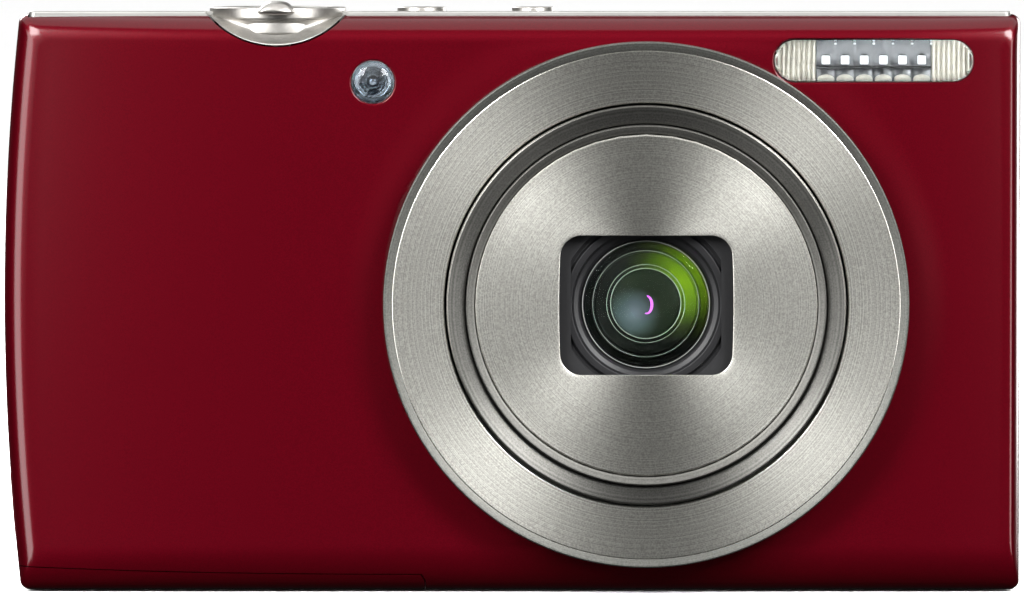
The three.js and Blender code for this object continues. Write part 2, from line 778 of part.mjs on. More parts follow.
function makeFlash() {
  const outline = roundedRectangle(
    flash.x - flash.halfWidth,
    flash.x + flash.halfWidth,
    flash.z - flash.halfHeight,
    flash.z + flash.halfHeight,
    flash.halfHeight - 0.01,
  );
  const pane = { front: -7.15, back: -6.1 };
  add("flash_window", prismY(outline, pane.front, pane.back, 8), "clearPlastic");

  // A trough with sloping walls, open towards the window, and a bore for the tube at its bottom.
  const tube = { y: -3.2, radius: 0.75, halfLength: 7.6 };
  const tray = box({
    left: flash.x - 8.6,
    right: flash.x + 8.6,
    front: -5.95,
    rear: -1.6,
    low: flash.z - 2.05,
    high: flash.z + 2.0,
  });
  const mouth = { y: -6.5, half: 1.8 };
  const bottom = { y: -3.0, half: 1.1 };
  const trough = new THREE.Shape();
  trough.moveTo(mouth.y, -mouth.half);
  trough.lineTo(mouth.y, mouth.half);
  trough.lineTo(bottom.y, bottom.half);
  trough.absarc(tube.y, 0, tube.radius + 0.4, Math.PI / 2, -Math.PI / 2, true);
  trough.closePath();
  const length = 16.4;
  const along = new THREE.ExtrudeGeometry(trough, { depth: length, bevelEnabled: false, curveSegments: 6 });
  const turn = new THREE.Matrix4().makeBasis(
    new THREE.Vector3(0, 1, 0),
    new THREE.Vector3(0, 0, 1),
    new THREE.Vector3(1, 0, 0),
  );
  const hollow = toSolid(along.applyMatrix4(turn).translate(flash.x - length / 2, 0, flash.z));
  add("flash_reflector", cut(tray, hollow), "steel");
  const bulb = rodX(tube.y, flash.z, tube.radius, flash.x - tube.halfLength, flash.x + tube.halfLength, 16);
  add("flash_tube", bulb, "clearPlastic");
  const capacitor = { x: 42.2, y: -1.5, radius: 3.9, low: 6.0, high: 38.0 };
  const can = rodZ(capacitor.x, capacitor.y, capacitor.radius, capacitor.low, capacitor.high, 28);
  add("flash_capacitor", can, "blackPlastic");

  const lampProfile = [[0, -5.9], [lamp.radius, -5.9], [lamp.radius, -7.1], [1.4, -7.5], [0, -7.7]];
  add("af_lamp_lens", turnedY(lamp.x, lamp.z, lampProfile, 24), "clearPlastic");
  add("af_lamp_led", rodY(lamp.x, lamp.z, 1.5, -5.6, -3.2, 20), "clearPlastic");
}

// ---------------------------------------------------------------- screen, pad and rear controls

function makeScreen() {
  const outline = roundedRectangle(screen.left, screen.right, screen.low, screen.high, screen.corner);
  add("screen_window", prismY(outline, screen.front, screen.face), "glass");
  const panel = { left: -13.0, right: 44.5, front: 7.3, rear: 9.4, low: 5.5, high: 49.0 };
  add("screen_panel", box(panel), "steel");
}

function makeRearControls() {
  for (const [name, place] of Object.entries(rearButtons)) add(name, rearButton(place), "satinSilver");

  const foot = { front: 8.4, back: 8.7, radius: 4.6 };
  const setProfile = [
    [0, foot.front],
    [foot.radius, foot.front],
    [foot.radius, foot.back],
    [pad.set, foot.back],
    [pad.set, rearMost - 0.2],
    [pad.set - 0.3, rearMost],
    [0, rearMost],
  ];
  add("set_button", turnedY(pad.x, pad.z, setProfile, 24), "satinSilver");

  const skirt = { front: 9.0, back: 9.35, radius: pad.outer + 0.8 };
  const padProfile = [
    [pad.inner, skirt.front],
    [skirt.radius, skirt.front],
    [skirt.radius, skirt.back],
    [pad.outer, skirt.back],
    [pad.outer, body.rear],
    [pad.outer - 0.3, body.rear + 0.25],
    [pad.inner, body.rear + 0.05],
    [pad.inner, skirt.front],
  ];
  add("four_way_pad", turnedY(pad.x, pad.z, padProfile, 32), "satinSilver");
  const pivot = { outer: 5.9, inner: 5.1, front: 8.1, back: 8.6 };
  const pivotRing = hoopY(pad.x, pad.z, pivot.outer, pivot.inner, pivot.front, pivot.back, 28);
  add("pad_pivot", pivotRing, "blackPlastic");

  // The switch board under the rear buttons, with a raised dome switch for each.
  const board = { left: -40.2, right: -16.0, front: 7.0, rear: 7.7, low: 4.0, high: 50.0 };
  const dome = { radius: 1.2, front: board.rear - 0.1, back: board.rear + 0.2 };
  const places = [...Object.values(rearButtons), pad];
  const domes = places.map(({ x, z }) => rodY(x, z, dome.radius, dome.front, dome.back, 12));
  add("key_board", joined(box(board), ...domes), "circuit");
}

// ---------------------------------------------------------------- inside

function makeInside() {
  const sheet = { left: -39.0, right: 46.0, front: 4.9, rear: 5.3, low: 5.6, high: 50.0 };
  const half = 8; // of the square window behind the lens
  const windows = [
    box({ left: lens.x - half, right: lens.x + half, low: lens.z - half, high: lens.z + half }),
    box({ left: -30, right: -18, low: 12, high: 40 }),
  ];
  add("chassis", cut(box(sheet), ...windows), "steel");

  const board = { left: -12.0, right: sheet.right, front: 5.7, rear: 6.5, low: sheet.low, high: sheet.high };
  const chips = [
    { left: 0, right: 12, low: 30, high: 42, rear: 7.1 },
    { left: 18, right: 27, low: 12, high: 20, rear: 7.0 },
    { left: -8, right: -2, low: 10, high: 18, rear: 7.0 },
  ];
  const raised = chips.map((sides) => box({ ...sides, front: board.rear - 0.1 }));
  add("main_board", joined(box(board), ...raised), "circuit");

  const { left, low, front } = battery;
  const right = left + battery.width;
  const top = low + battery.height;
  add("battery", box({ left, right, front, rear: front + battery.depth, low, high: top }), "greyPlastic");
  const cardRight = card.left + card.width;
  const cardBack = card.front + card.depth;
  const cardShape = new THREE.Shape();
  const cardTop = low + card.height;
  cardShape.moveTo(card.left, low);
  cardShape.lineTo(cardRight, low);
  cardShape.lineTo(cardRight, cardTop - card.corner);
  cardShape.lineTo(cardRight - card.corner, cardTop);
  cardShape.lineTo(card.left, cardTop);
  cardShape.closePath();
  add("memory_card", prismY(cardShape, card.front, cardBack), "blackPlastic");

  // The chamber: a side wall, a roof, and the walls before and behind the card.
  const { middle, middleRear, back, rear, room, wall } = chamber;
  const side = { left: left - 0.5, right: left - 0.15 };
  const roof = { low: top + room, high: top + room + wall };
  const cardRoof = { low: cardTop + room, high: cardTop + room + wall };
  const walls = joined(
    box({ ...side, front: chamber.front, rear: middleRear, low, high: roof.high }),
    box({ left: side.left, right, front: chamber.front, rear: middleRear, ...roof }),
    box({ left: side.left, right, front: middle, rear: middleRear, low, high: roof.high }),
    box({ ...side, front: middle, rear, low, high: cardRoof.high }),
    box({ left: side.left, right, front: middle, rear, ...cardRoof }),
    box({ left: side.left, right, front: back, rear, low, high: cardRoof.high }),
  );
  add("battery_box", walls, "blackPlastic");
  const latch = { left: -30.0, right: -26.0, front: -1.1, rear: 0.35, low: 2.65, high: 3.35 };
  add("battery_latch", box(latch), "greyPlastic");
  const speaker = { x: 40.5, z: 42.8, radius: 3.4, front: -3.0, back: 1.0 };
  add("speaker", rodY(speaker.x, speaker.z, speaker.radius, speaker.front, speaker.back, 24), "blackPlastic");
}

// ---------------------------------------------------------------- base: door, hinge and bush

function makeDoor() {
  const region = doorRegion(0);
  const hollow = box({
    left: door.innerLeft,
    right: door.right + 1,
    front: body.front + body.wall,
    low: door.floor,
  });
  const skin = outerForm.intersect(region).intersect(box({ right: door.right, rear: door.rear }));
  add("battery_door", cut(skin, hollow), "redPaint");

  const { y, z, radius, left, right } = hinge;
  const pinEnd = 1.0;
  const barrel = rodX(y, z, radius, left, right, 24);
  const { halfWeb, high } = bracket;
  const web = box({ left, right, front: y - halfWeb, rear: y + halfWeb, low: z, high });
  const leaf = box({ left, right, front: bracket.front, rear: y, low: bracket.low, high });
  const pinBore = rodX(y, z, hinge.bore, left - pinEnd, right + pinEnd, 16);
  add("door_bracket", cut(joined(barrel, web, leaf), pinBore), "redPaint");
  add("door_pin", rodX(y, z, hinge.pin, left - pinEnd, right + pinEnd, 12), "steel");
}

function makeBush() {
  const { x, y, flange, boss, bore, height, roof } = bush;
  const profile = [
    [bore, 0],
    [flange, 0],
    [flange, body.wall],
    [boss, body.wall],
    [boss, height],
    [0, height],
    [0, height - roof],
    [bore, height - roof],
    [bore, 0],
  ];
  add("tripod_bush", turnedZ(x, y, profile, 24), "steel");
}

// ---------------------------------------------------------------- left side: flaps, socket and strap bar

function makeSide() {
  add("terminal_cover", terminalFlap.flap, "redPaint");
  add("supply_cover", supplyFlap.flap, "redPaint");

  const socket = box({ left: -45.9, right: -40.6, front: 3.9, rear: 6.9, low: 21.0, high: 29.5 });
  const port = box({ right: -42.0, front: 4.5, rear: 6.3, low: 22.0, high: 28.5 });
  add("data_socket", cut(socket, port), "steel");

  const back = box({ left: -45.0, right: -44.4, front: 2.6, rear: 8.4, low: 40.9, high: 48.6 });
  const bar = { x: -46.0, y: 5.7, radius: 0.6, low: 41.7, high: 47.8 };
  const arm = { left: -46.4, right: -44.9, front: 4.9, rear: 6.5, height: 0.9 };
  const { height, ...armSides } = arm;
  const arms = [
    box({ ...armSides, low: bar.low, high: bar.low + height }),
    box({ ...armSides, low: bar.high - height, high: bar.high }),
  ];
  const rod = rodZ(bar.x, bar.y, bar.radius, bar.low, bar.high, 16);
  add("strap_bar", joined(back, rod, ...arms), "steel");
}

// ---------------------------------------------------------------- assembly

makeCovers();
makeTopCover();
makeShutterTrim();
makeShutterGroup();
makeLensRing();
makeLensHousing();
makeCamRing();
makeDrive();
makeBarrels();
makeBarrier();
makeOptics();
makeFlash();
makeScreen();
makeRearControls();
makeInside();
makeDoor();
makeBush();
makeSide();
makeScrews();

export default camera;
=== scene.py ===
import math

import bpy
import numpy as np
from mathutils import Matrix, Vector
from mathutils.bvhtree import BVHTree


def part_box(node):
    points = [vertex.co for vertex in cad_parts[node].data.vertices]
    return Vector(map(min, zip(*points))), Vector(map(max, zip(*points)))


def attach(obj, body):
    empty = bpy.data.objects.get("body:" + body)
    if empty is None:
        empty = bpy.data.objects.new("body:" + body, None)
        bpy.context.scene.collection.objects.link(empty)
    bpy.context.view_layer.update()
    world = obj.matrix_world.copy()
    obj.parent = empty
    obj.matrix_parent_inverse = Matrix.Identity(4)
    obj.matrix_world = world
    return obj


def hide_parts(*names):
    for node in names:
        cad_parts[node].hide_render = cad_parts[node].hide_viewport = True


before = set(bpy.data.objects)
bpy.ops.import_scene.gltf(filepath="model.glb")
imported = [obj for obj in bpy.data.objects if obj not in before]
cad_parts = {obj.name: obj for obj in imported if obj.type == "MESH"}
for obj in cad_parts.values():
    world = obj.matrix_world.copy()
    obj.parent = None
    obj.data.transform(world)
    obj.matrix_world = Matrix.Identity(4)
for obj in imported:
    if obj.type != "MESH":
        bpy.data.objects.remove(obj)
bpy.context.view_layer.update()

MM = 0.001  # the frame is in metres, and the sizes below are in millimetres


# ---------------------------------------------------------------- places taken from the frame


def box(node):
    """Lowest and highest corner of a CAD node, in millimetres."""
    low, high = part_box(node)
    return low / MM, high / MM


def middle(node):
    low, high = box(node)
    return (low + high) / 2


def half_size(node):
    low, high = box(node)
    return (high - low) / 2


def outline_of(node):
    """The centre and half sizes of a node seen from the front or back, each as (x, z)."""
    centre = middle(node)
    half = half_size(node)
    return (centre.x, centre.z), (half.x, half.z)


cover_low, cover_high = box("front_cover")
HALF_WIDTH = cover_high.x
HEIGHT = cover_high.z
FRONT = cover_low.y
SPLIT = cover_high.y
REAR = box("rear_cover")[1].y
LENS = middle("lens_ring")
RING_LOW, RING_HIGH = box("lens_ring")
RING_RADIUS = (RING_HIGH.x - RING_LOW.x) / 2
SHUTTER = middle("shutter_button")
FLASH = middle("flash_window")
FLASH_HALF = half_size("flash_window")
LAMP = middle("af_lamp_lens")
LAMP_RADIUS = half_size("af_lamp_lens").x
PAD = middle("four_way_pad")
PAD_RADIUS = 8.8
WALL = 1.0
BOW = 1.5  # how far the left side's middle stands out past its ends
CORNER = 0.9
SEAM = 0.09  # the gap that shows between two covers


# ---------------------------------------------------------------- mesh building


def make_object(name, points, faces, sharp=35.0):
    """A mesh object from points in millimetres, smooth but for edges sharper than an angle."""
    mesh = bpy.data.meshes.new(name)
    mesh.from_pydata([tuple(float(c) * MM for c in p) for p in points], [], faces)
    obj = bpy.data.objects.new(name, mesh)
    bpy.context.scene.collection.objects.link(obj)
    face_outwards(mesh)
    shade(obj, sharp)
    return obj


def face_outwards(mesh):
    """Turns all faces round if the closed mesh is inside out."""
    volume = 0.0
    for polygon in mesh.polygons:
        centre = polygon.center
        volume += centre.dot(polygon.normal) * polygon.area
    if volume < 0:
        mesh.flip_normals()


def shade(obj, sharp=35.0):
    obj.data.shade_smooth()
    obj.data.set_sharp_from_angle(angle=math.radians(sharp))


def loft(name, rings, closed=False, sharp=35.0):
    """A skin over rings of equal count. It closes on its first ring, or has a flat cap at each end."""
    count = len(rings[0])
    points = [p for ring in rings for p in ring]
    faces = []
    total = len(rings)
    for r in range(total if closed else total - 1):
        a0 = r * count
        b0 = ((r + 1) % total) * count
        for k in range(count):
            n = (k + 1) % count
            faces.append((a0 + k, a0 + n, b0 + n, b0 + k))
    if not closed:
        faces.append(tuple(reversed(range(count))))
        faces.append(tuple(range((total - 1) * count, total * count)))
    return make_object(name, points, faces, sharp)


def turned(name, centre, profile, segments=128, axis="Y", sharp=35.0):
    """A solid turned about an axis through a centre. The profile is a closed list of (radius, along)."""
    points = []
    starts = []
    for radius, along in profile:
        starts.append(len(points))
        turns = 1 if radius < 1e-6 else segments
        for k in range(turns):
            angle = 2 * math.pi * k / segments
            a = radius * math.cos(angle)
            b = radius * math.sin(angle)
            if axis == "Y":
                points.append((centre[0] + a, along, centre[2] + b))
            elif axis == "Z":
                points.append((centre[0] + a, centre[1] + b, along))
            else:
                points.append((along, centre[1] + a, centre[2] + b))
    faces = []
    size = len(profile)
    on_axis = [radius < 1e-6 for radius, along in profile]
    for p in range(size):
        q = (p + 1) % size
        if on_axis[p] and on_axis[q]:
            continue
        for k in range(segments):
            n = (k + 1) % segments
            if on_axis[p]:
                faces.append((starts[p], starts[q] + n, starts[q] + k))
            elif on_axis[q]:
                faces.append((starts[p] + k, starts[p] + n, starts[q]))
            else:
                faces.append((starts[p] + k, starts[p] + n, starts[q] + n, starts[q] + k))
    return make_object(name, points, faces, sharp)


def soften(profile, radius):
    """The profile with each corner off the axis rounded."""
    steps = 4
    size = len(profile)
    out = []
    for k, point in enumerate(profile):
        here = Vector(point)
        if here.x < 1e-6:
            out.append(tuple(here))
            continue
        before = Vector(profile[k - 1])
        after = Vector(profile[(k + 1) % size])
        reach = min(radius, (before - here).length * 0.45, (after - here).length * 0.45)
        start = here + (before - here).normalized() * reach
        end = here + (after - here).normalized() * reach
        for s in range(steps + 1):
            t = s / steps
            out.append(tuple((1 - t) ** 2 * start + 2 * t * (1 - t) * here + t**2 * end))
    return out


def rounded_rectangle(half_a, half_b, corner, steps=8):
    """Points round a rectangle about the origin, with rounded corners."""
    corner = max(min(corner, half_a, half_b), 0.01)
    points = []
    for number, (side_a, side_b) in enumerate([(1, -1), (1, 1), (-1, 1), (-1, -1)]):
        for k in range(steps + 1):
            angle = (number - 1 + k / steps) * math.pi / 2
            a = side_a * (half_a - corner) + corner * math.cos(angle)
            b = side_b * (half_b - corner) + corner * math.sin(angle)
            points.append((a, b))
    return points


def slab(name, centre, halves, corner, low, high, edge=0.1, axis="Y", foot_edge=0.0, steps=8):
    """A rounded rectangle drawn out from low to high along an axis, with its end edges rounded.

    The edge at the high end has the radius edge, and the one at the low end foot_edge.
    """
    turns = 5

    def ring(inset, along):
        shape = rounded_rectangle(halves[0] - inset, halves[1] - inset, corner - inset, steps)
        if axis == "Y":
            return [(centre[0] + a, along, centre[1] + b) for a, b in shape]
        if axis == "Z":
            return [(centre[0] + a, centre[1] + b, along) for a, b in shape]
        return [(along, centre[0] + a, centre[1] + b) for a, b in shape]

    way = 1 if high > low else -1
    rings = []
    for radius, end, sense in ((foot_edge, low, 1), (edge, high, -1)):
        part = []
        for k in range(turns + 1):
            angle = k / turns * math.pi / 2
            inset = radius * (1 - math.sin(angle))
            along = end + way * sense * radius * (1 - math.cos(angle))
            part.append(ring(inset, along))
            if radius == 0:
                break
        rings += part if sense == 1 else reversed(part)
    return loft(name, rings)


def apply_boolean(obj, kind, other):
    """Replaces obj's mesh by its exact boolean with another object."""
    modifier = obj.modifiers.new("cut", "BOOLEAN")
    modifier.operation = kind
    modifier.solver = "EXACT"
    modifier.object = other
    bpy.context.view_layer.update()
    graph = bpy.context.evaluated_depsgraph_get()
    mesh = bpy.data.meshes.new_from_object(obj.evaluated_get(graph))
    obj.modifiers.clear()
    old = obj.data
    obj.data = mesh
    bpy.data.meshes.remove(old)
    mesh.name = obj.name


def remove(*objects):
    for obj in objects:
        bpy.data.objects.remove(obj, do_unlink=True)


def cut(obj, *cutters, kind="DIFFERENCE"):
    for cutter in cutters:
        apply_boolean(obj, kind, cutter)
    remove(*cutters)
    shade(obj)
    return obj


def copy_of(obj, name):
    other = bpy.data.objects.new(name, obj.data.copy())
    bpy.context.scene.collection.objects.link(other)
    return other


class Skin:
    """A smooth mesh's surface, whose own normals are given back to a cut copy of it."""

    def __init__(self, obj):
        mesh = obj.data
        self.points = [v.co.copy() for v in mesh.vertices]
        self.corners = [tuple(p.vertices) for p in mesh.polygons]
        self.normals = [v.normal.copy() for v in mesh.vertices]
        self.flat = [p.normal.copy() for p in mesh.polygons]
        self.tree = BVHTree.FromPolygons(self.points, self.corners)

    def normal_at(self, point):
        """The smooth normal at a point, weighted by nearness to its face's corners."""
        place, flat, index, distance = self.tree.find_nearest(point)
        total = Vector((0, 0, 0))
        for c in self.corners[index]:
            weight = 1 / ((self.points[c] - point).length + 1e-7)
            total += self.normals[c] * weight
        return total.normalized(), self.flat[index], distance

    def dress(self, obj):
        """Sets obj's normals: this skin's where it lies on it, its own elsewhere."""
        mesh = obj.data
        own = [Vector(c.vector) for c in mesh.corner_normals]
        for polygon in mesh.polygons:
            smooth, flat, distance = self.normal_at(polygon.center)
            if distance > 2e-5 or flat.dot(polygon.normal) < 0.9:
                continue
            for loop in polygon.loop_indices:
                corner = mesh.vertices[mesh.loops[loop].vertex_index].co
                own[loop] = self.normal_at(corner)[0]
        mesh.normals_split_custom_set(own)


def finish_piece(obj, body, paint, slot, *nodes):
    """Gives a piece its material, lets it stand for CAD nodes, and rides it on a body."""
    obj.data.materials.clear()
    obj.data.materials.append(paint)
    if not obj.data.has_custom_normals:
        modifier = obj.modifiers.new("flat_faces", "WEIGHTED_NORMAL")
        modifier.keep_sharp = True
    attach(obj, body)
    if nodes:
        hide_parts(*nodes)
    return obj


# ---------------------------------------------------------------- materials


class Paint:
    """A node material being built: the Principled shader and a few helpers round it."""

    def __init__(self, name, color, roughness, metallic=0.0, **settings):
        self.material = bpy.data.materials.new(name)
        self.material.use_nodes = True
        self.tree = self.material.node_tree
        self.shader = self.tree.nodes["Principled BSDF"]
        self.set("Base Color", (*color, 1.0))
        self.set("Roughness", roughness)
        self.set("Metallic", metallic)
        for key, value in settings.items():
            self.set(key.replace("_", " "), value)

    def set(self, socket, value):
        self.shader.inputs[socket].default_value = value

    def node(self, kind, **values):
        made = self.tree.nodes.new(kind)
        for key, value in values.items():
            if hasattr(made, key):
                setattr(made, key, value)
            else:
                made.inputs[key.replace("_", " ")].default_value = value
        return made

    def link(self, source, target):
        self.tree.links.new(source, target)

    def math(self, operation, a, b=None):
        made = self.node("ShaderNodeMath", operation=operation)
        for number, value in enumerate((a, b)):
            if value is None:
                continue
            if isinstance(value, (int, float)):
                made.inputs[number].default_value = value
            else:
                self.link(value, made.inputs[number])
        return made.outputs[0]

    def place(self):
        """Object coordinates, which are the frame's own, in metres."""
        return self.node("ShaderNodeTexCoord").outputs["Object"]

    def noise(self, scale, detail=3.0):
        made = self.node("ShaderNodeTexNoise", Scale=scale, Detail=detail)
        self.link(self.place(), made.inputs["Vector"])
        return made.outputs["Fac"]

    def stretched(self, x, y, z):
        """Object coordinates scaled by a factor along each axis."""
        made = self.node("ShaderNodeVectorMath", operation="MULTIPLY")
        self.link(self.place(), made.inputs[0])
        made.inputs[1].default_value = (x, y, z)
        return made.outputs[0]

    def ramp(self, value, *stops):
        """A colour ramp of (position, colour) stops."""
        made = self.node("ShaderNodeValToRGB")
        elements = made.color_ramp.elements
        while len(elements) < len(stops):
            elements.new(0.5)
        for element, (position, color) in zip(elements, stops):
            element.position = position
            element.color = (*color, 1.0)
        self.link(value, made.inputs[0])
        return made.outputs[0]

    def span(self, value, low, high):
        """Maps a value from 0..1 to low..high."""
        made = self.node("ShaderNodeMapRange")
        made.inputs["To Min"].default_value = low
        made.inputs["To Max"].default_value = high
        self.link(value, made.inputs["Value"])
        return made.outputs[0]

    def color(self, output):
        self.link(output, self.shader.inputs["Base Color"])

    def rough(self, output):
        self.link(output, self.shader.inputs["Roughness"])

    def bump(self, height, distance):
        made = self.node("ShaderNodeBump", Strength=1.0, Distance=distance)
        self.link(height, made.inputs["Height"])
        self.link(made.outputs[0], self.shader.inputs["Normal"])

    def offsets_from(self, x, z):
        """How far a point lies from an axis along Y in the X and Z directions, in metres."""
        parts = self.node("ShaderNodeSeparateXYZ")
        self.link(self.place(), parts.inputs[0])
        dx = self.math("SUBTRACT", parts.outputs["X"], x * MM)
        dz = self.math("SUBTRACT", parts.outputs["Z"], z * MM)
        return dx, dz

    def length(self, a, b):
        square = self.math("ADD", self.math("MULTIPLY", a, a), self.math("MULTIPLY", b, b))
        return self.math("SQRT", square)

    def radius_from(self, x, z):
        return self.length(*self.offsets_from(x, z))


def tinted(color, factor):
    """A colour made lighter or darker, up to full white."""
    return tuple(min(1.0, c * factor) for c in color)


def mottled(paint, color, spread, scale):
    """Varies a base colour a little by noise."""
    stops = (0.3, tinted(color, 1 - spread)), (0.7, tinted(color, 1 + spread))
    paint.color(paint.ramp(paint.noise(scale), *stops))


def paint_red():
    color = (0.082, 0.0004, 0.0042)
    paint = Paint("red_paint", color, 0.46, 0.6, Coat_Weight=1.0, Coat_Roughness=0.17, Coat_IOR=1.42)
    paint.set("Specular IOR Level", 0.0)
    flakes = paint.noise(9000.0, detail=1.0)
    paint.color(paint.ramp(flakes, (0.35, tinted(color, 0.9)), (0.65, tinted(color, 1.1))))
    paint.rough(paint.span(paint.noise(60.0), 0.43, 0.49))
    return paint.material


def spun_silver(name, tone, roughness, x, z, pitch=0.12, anisotropy=0.72, relief=0.0006):
    """Turned metal: fine rings round an axis, and a highlight drawn out across them."""
    paint = Paint(name, tone, roughness, 1.0, Anisotropic=anisotropy, Anisotropic_Rotation=0.25)
    tangent = paint.node("ShaderNodeTangent", direction_type="RADIAL", axis="Y")
    paint.link(tangent.outputs[0], paint.shader.inputs["Tangent"])
    radius = paint.radius_from(x, z)
    rings = paint.node("ShaderNodeTexNoise", noise_dimensions="1D", Scale=1.0, Detail=2.0)
    paint.link(paint.math("MULTIPLY", radius, 1 / (pitch * MM)), rings.inputs["W"])
    speckle = paint.noise(7000.0, detail=1.0)
    half_rings = paint.math("MULTIPLY", rings.outputs["Fac"], 0.5)
    mixed = paint.math("ADD", half_rings, paint.math("MULTIPLY", speckle, 0.5))
    paint.color(paint.ramp(mixed, (0.36, tinted(tone, 0.7)), (0.64, tinted(tone, 1.25))))
    paint.bump(mixed, relief * MM)
    return paint.material


def brushed_silver(name, tone, roughness):
    """Metal with fine straight brush marks along X."""
    paint = Paint(name, tone, roughness, 1.0)
    marks = paint.node("ShaderNodeTexNoise", Scale=1.0, Detail=2.0)
    paint.link(paint.stretched(150, 9000, 9000), marks.inputs["Vector"])
    stops = (0.3, tinted(tone, 0.9)), (0.7, tinted(tone, 1.08))
    paint.color(paint.ramp(marks.outputs["Fac"], *stops))
    paint.bump(marks.outputs["Fac"], 0.002 * MM)
    return paint.material


def satin(name, tone, roughness, metallic=1.0, grain=3000.0, relief=0.002, **settings):
    """A fine blasted or moulded surface."""
    paint = Paint(name, tone, roughness, metallic, **settings)
    grains = paint.noise(grain, detail=2.0)
    paint.color(paint.ramp(grains, (0.3, tinted(tone, 0.93)), (0.7, tinted(tone, 1.06))))
    paint.bump(grains, relief * MM)
    return paint.material


RED = paint_red()
SILVER = (0.84, 0.805, 0.735)
RING_METAL = spun_silver("ring_metal", SILVER, 0.30, LENS.x, LENS.z)
BARREL_METAL = spun_silver("barrel_metal", (0.17, 0.167, 0.155), 0.36, LENS.x, LENS.z, pitch=0.2)
RIM_METAL = spun_silver("rim_metal", (0.11, 0.108, 0.10), 0.5, LENS.x, LENS.z, pitch=0.2, anisotropy=0.2)
PLATE_METAL = spun_silver("plate_metal", SILVER, 0.30, LENS.x, LENS.z, pitch=0.09)
# the lens ring's lip: the face's spun metal toned darker, as painted shade
SHADED_BEVEL_METAL = spun_silver("bevel_metal_painted_shade", (0.13, 0.13, 0.12), 0.5, LENS.x, LENS.z, anisotropy=0.4)
STRIP_METAL = brushed_silver("strip_metal", (0.36, 0.355, 0.34), 0.5)
TRIM_METAL = satin("trim_metal", (0.46, 0.445, 0.42), 0.46)
BUTTON_METAL = satin("button_metal", (0.40, 0.385, 0.36), 0.38)
BLACK_SATIN = satin("black_satin", (0.010, 0.010, 0.011), 0.4, 0.0, Specular_IOR_Level=0.3)
BLACK_MATT = satin("black_matt", (0.014, 0.014, 0.015), 0.6, 0.0, relief=0.006, Specular_IOR_Level=0.2)
BLACK_GLOSS = satin("black_gloss", (0.005, 0.005, 0.006), 0.12, 0.0, relief=0.0)
STEEL = satin("plated_steel", (0.55, 0.55, 0.56), 0.3)
GREY = satin("grey_plastic", (0.20, 0.205, 0.21), 0.5, 0.0)
CIRCUIT = satin("circuit_green", (0.01, 0.10, 0.04), 0.45, 0.0, grain=800.0)


# ---------------------------------------------------------------- the body's outer form

FRONT_DEPTH = 3.0
FRONT_ROUND = {"left": 2.2, "right": 1.15, "top": 2.5, "bottom": 4.2}
REAR_ROUND = 1.8


def left_side(z):
    half = HEIGHT / 2
    return -HALF_WIDTH + BOW * ((z - half) / half) ** 2


def body_outline(inset):
    """Points round the body seen from the front, each side set in by its own amount."""
    low = inset["bottom"]
    high = HEIGHT - inset["top"]
    right = HALF_WIDTH - inset["right"]

    def left(z):
        return left_side(z) + inset["left"]

    corners = [
        (right - CORNER, low + CORNER),
        (right - CORNER, high - CORNER),
        (left(high - CORNER) + CORNER, high - CORNER),
        (left(low + CORNER) + CORNER, low + CORNER),
    ]
    corner_steps = 8
    side_steps = [36, 80, 36, 80]
    points = []
    for number, (x, z) in enumerate(corners):
        for k in range(corner_steps + 1):
            angle = (number - 1 + k / corner_steps) * math.pi / 2
            points.append((x + CORNER * math.cos(angle), z + CORNER * math.sin(angle)))
        start = points[-1]
        after = corners[(number + 1) % 4]
        next_angle = number * math.pi / 2
        end = (after[0] + CORNER * math.cos(next_angle), after[1] + CORNER * math.sin(next_angle))
        steps = side_steps[number]
        for k in range(1, steps):
            t = k / steps
            px = start[0] + (end[0] - start[0]) * t
            pz = start[1] + (end[1] - start[1]) * t
            if number == 2:
                px = left(pz)
            points.append((px, pz))
    return np.array(points)


def smooth_step(value, low, high):
    t = np.clip((value - low) / (high - low), 0.0, 1.0)
    return t * t * (3 - 2 * t)


def front_relief(x, z):
    """How far the painted face lies behind its plane: crowned at the sides, raised round the lens."""
    left_crown = 1.1 * np.clip((-19.0 - x) / 27.0, 0, 1) ** 2
    right_crown = 0.45 * np.clip((x - 35.0) / 11.0, 0, 1) ** 2
    radius = np.hypot(x - LENS.x, z - LENS.z)
    flare = 0.16 * (1 - smooth_step(radius, RING_RADIUS - 0.2, RING_RADIUS + 4.0))
    flare = np.where(radius < RING_RADIUS - 0.3, 0.0, flare)
    clear_of_edge = smooth_step(np.minimum(HEIGHT - 1.5 - z, z - 3.0), 0.0, 2.0)
    return left_crown + right_crown - flare * clear_of_edge


def ring_points(flat, y):
    return np.column_stack([flat[:, 0], np.broadcast_to(y, len(flat)), flat[:, 1]])


def even(amount):
    return {side: amount for side in FRONT_ROUND}


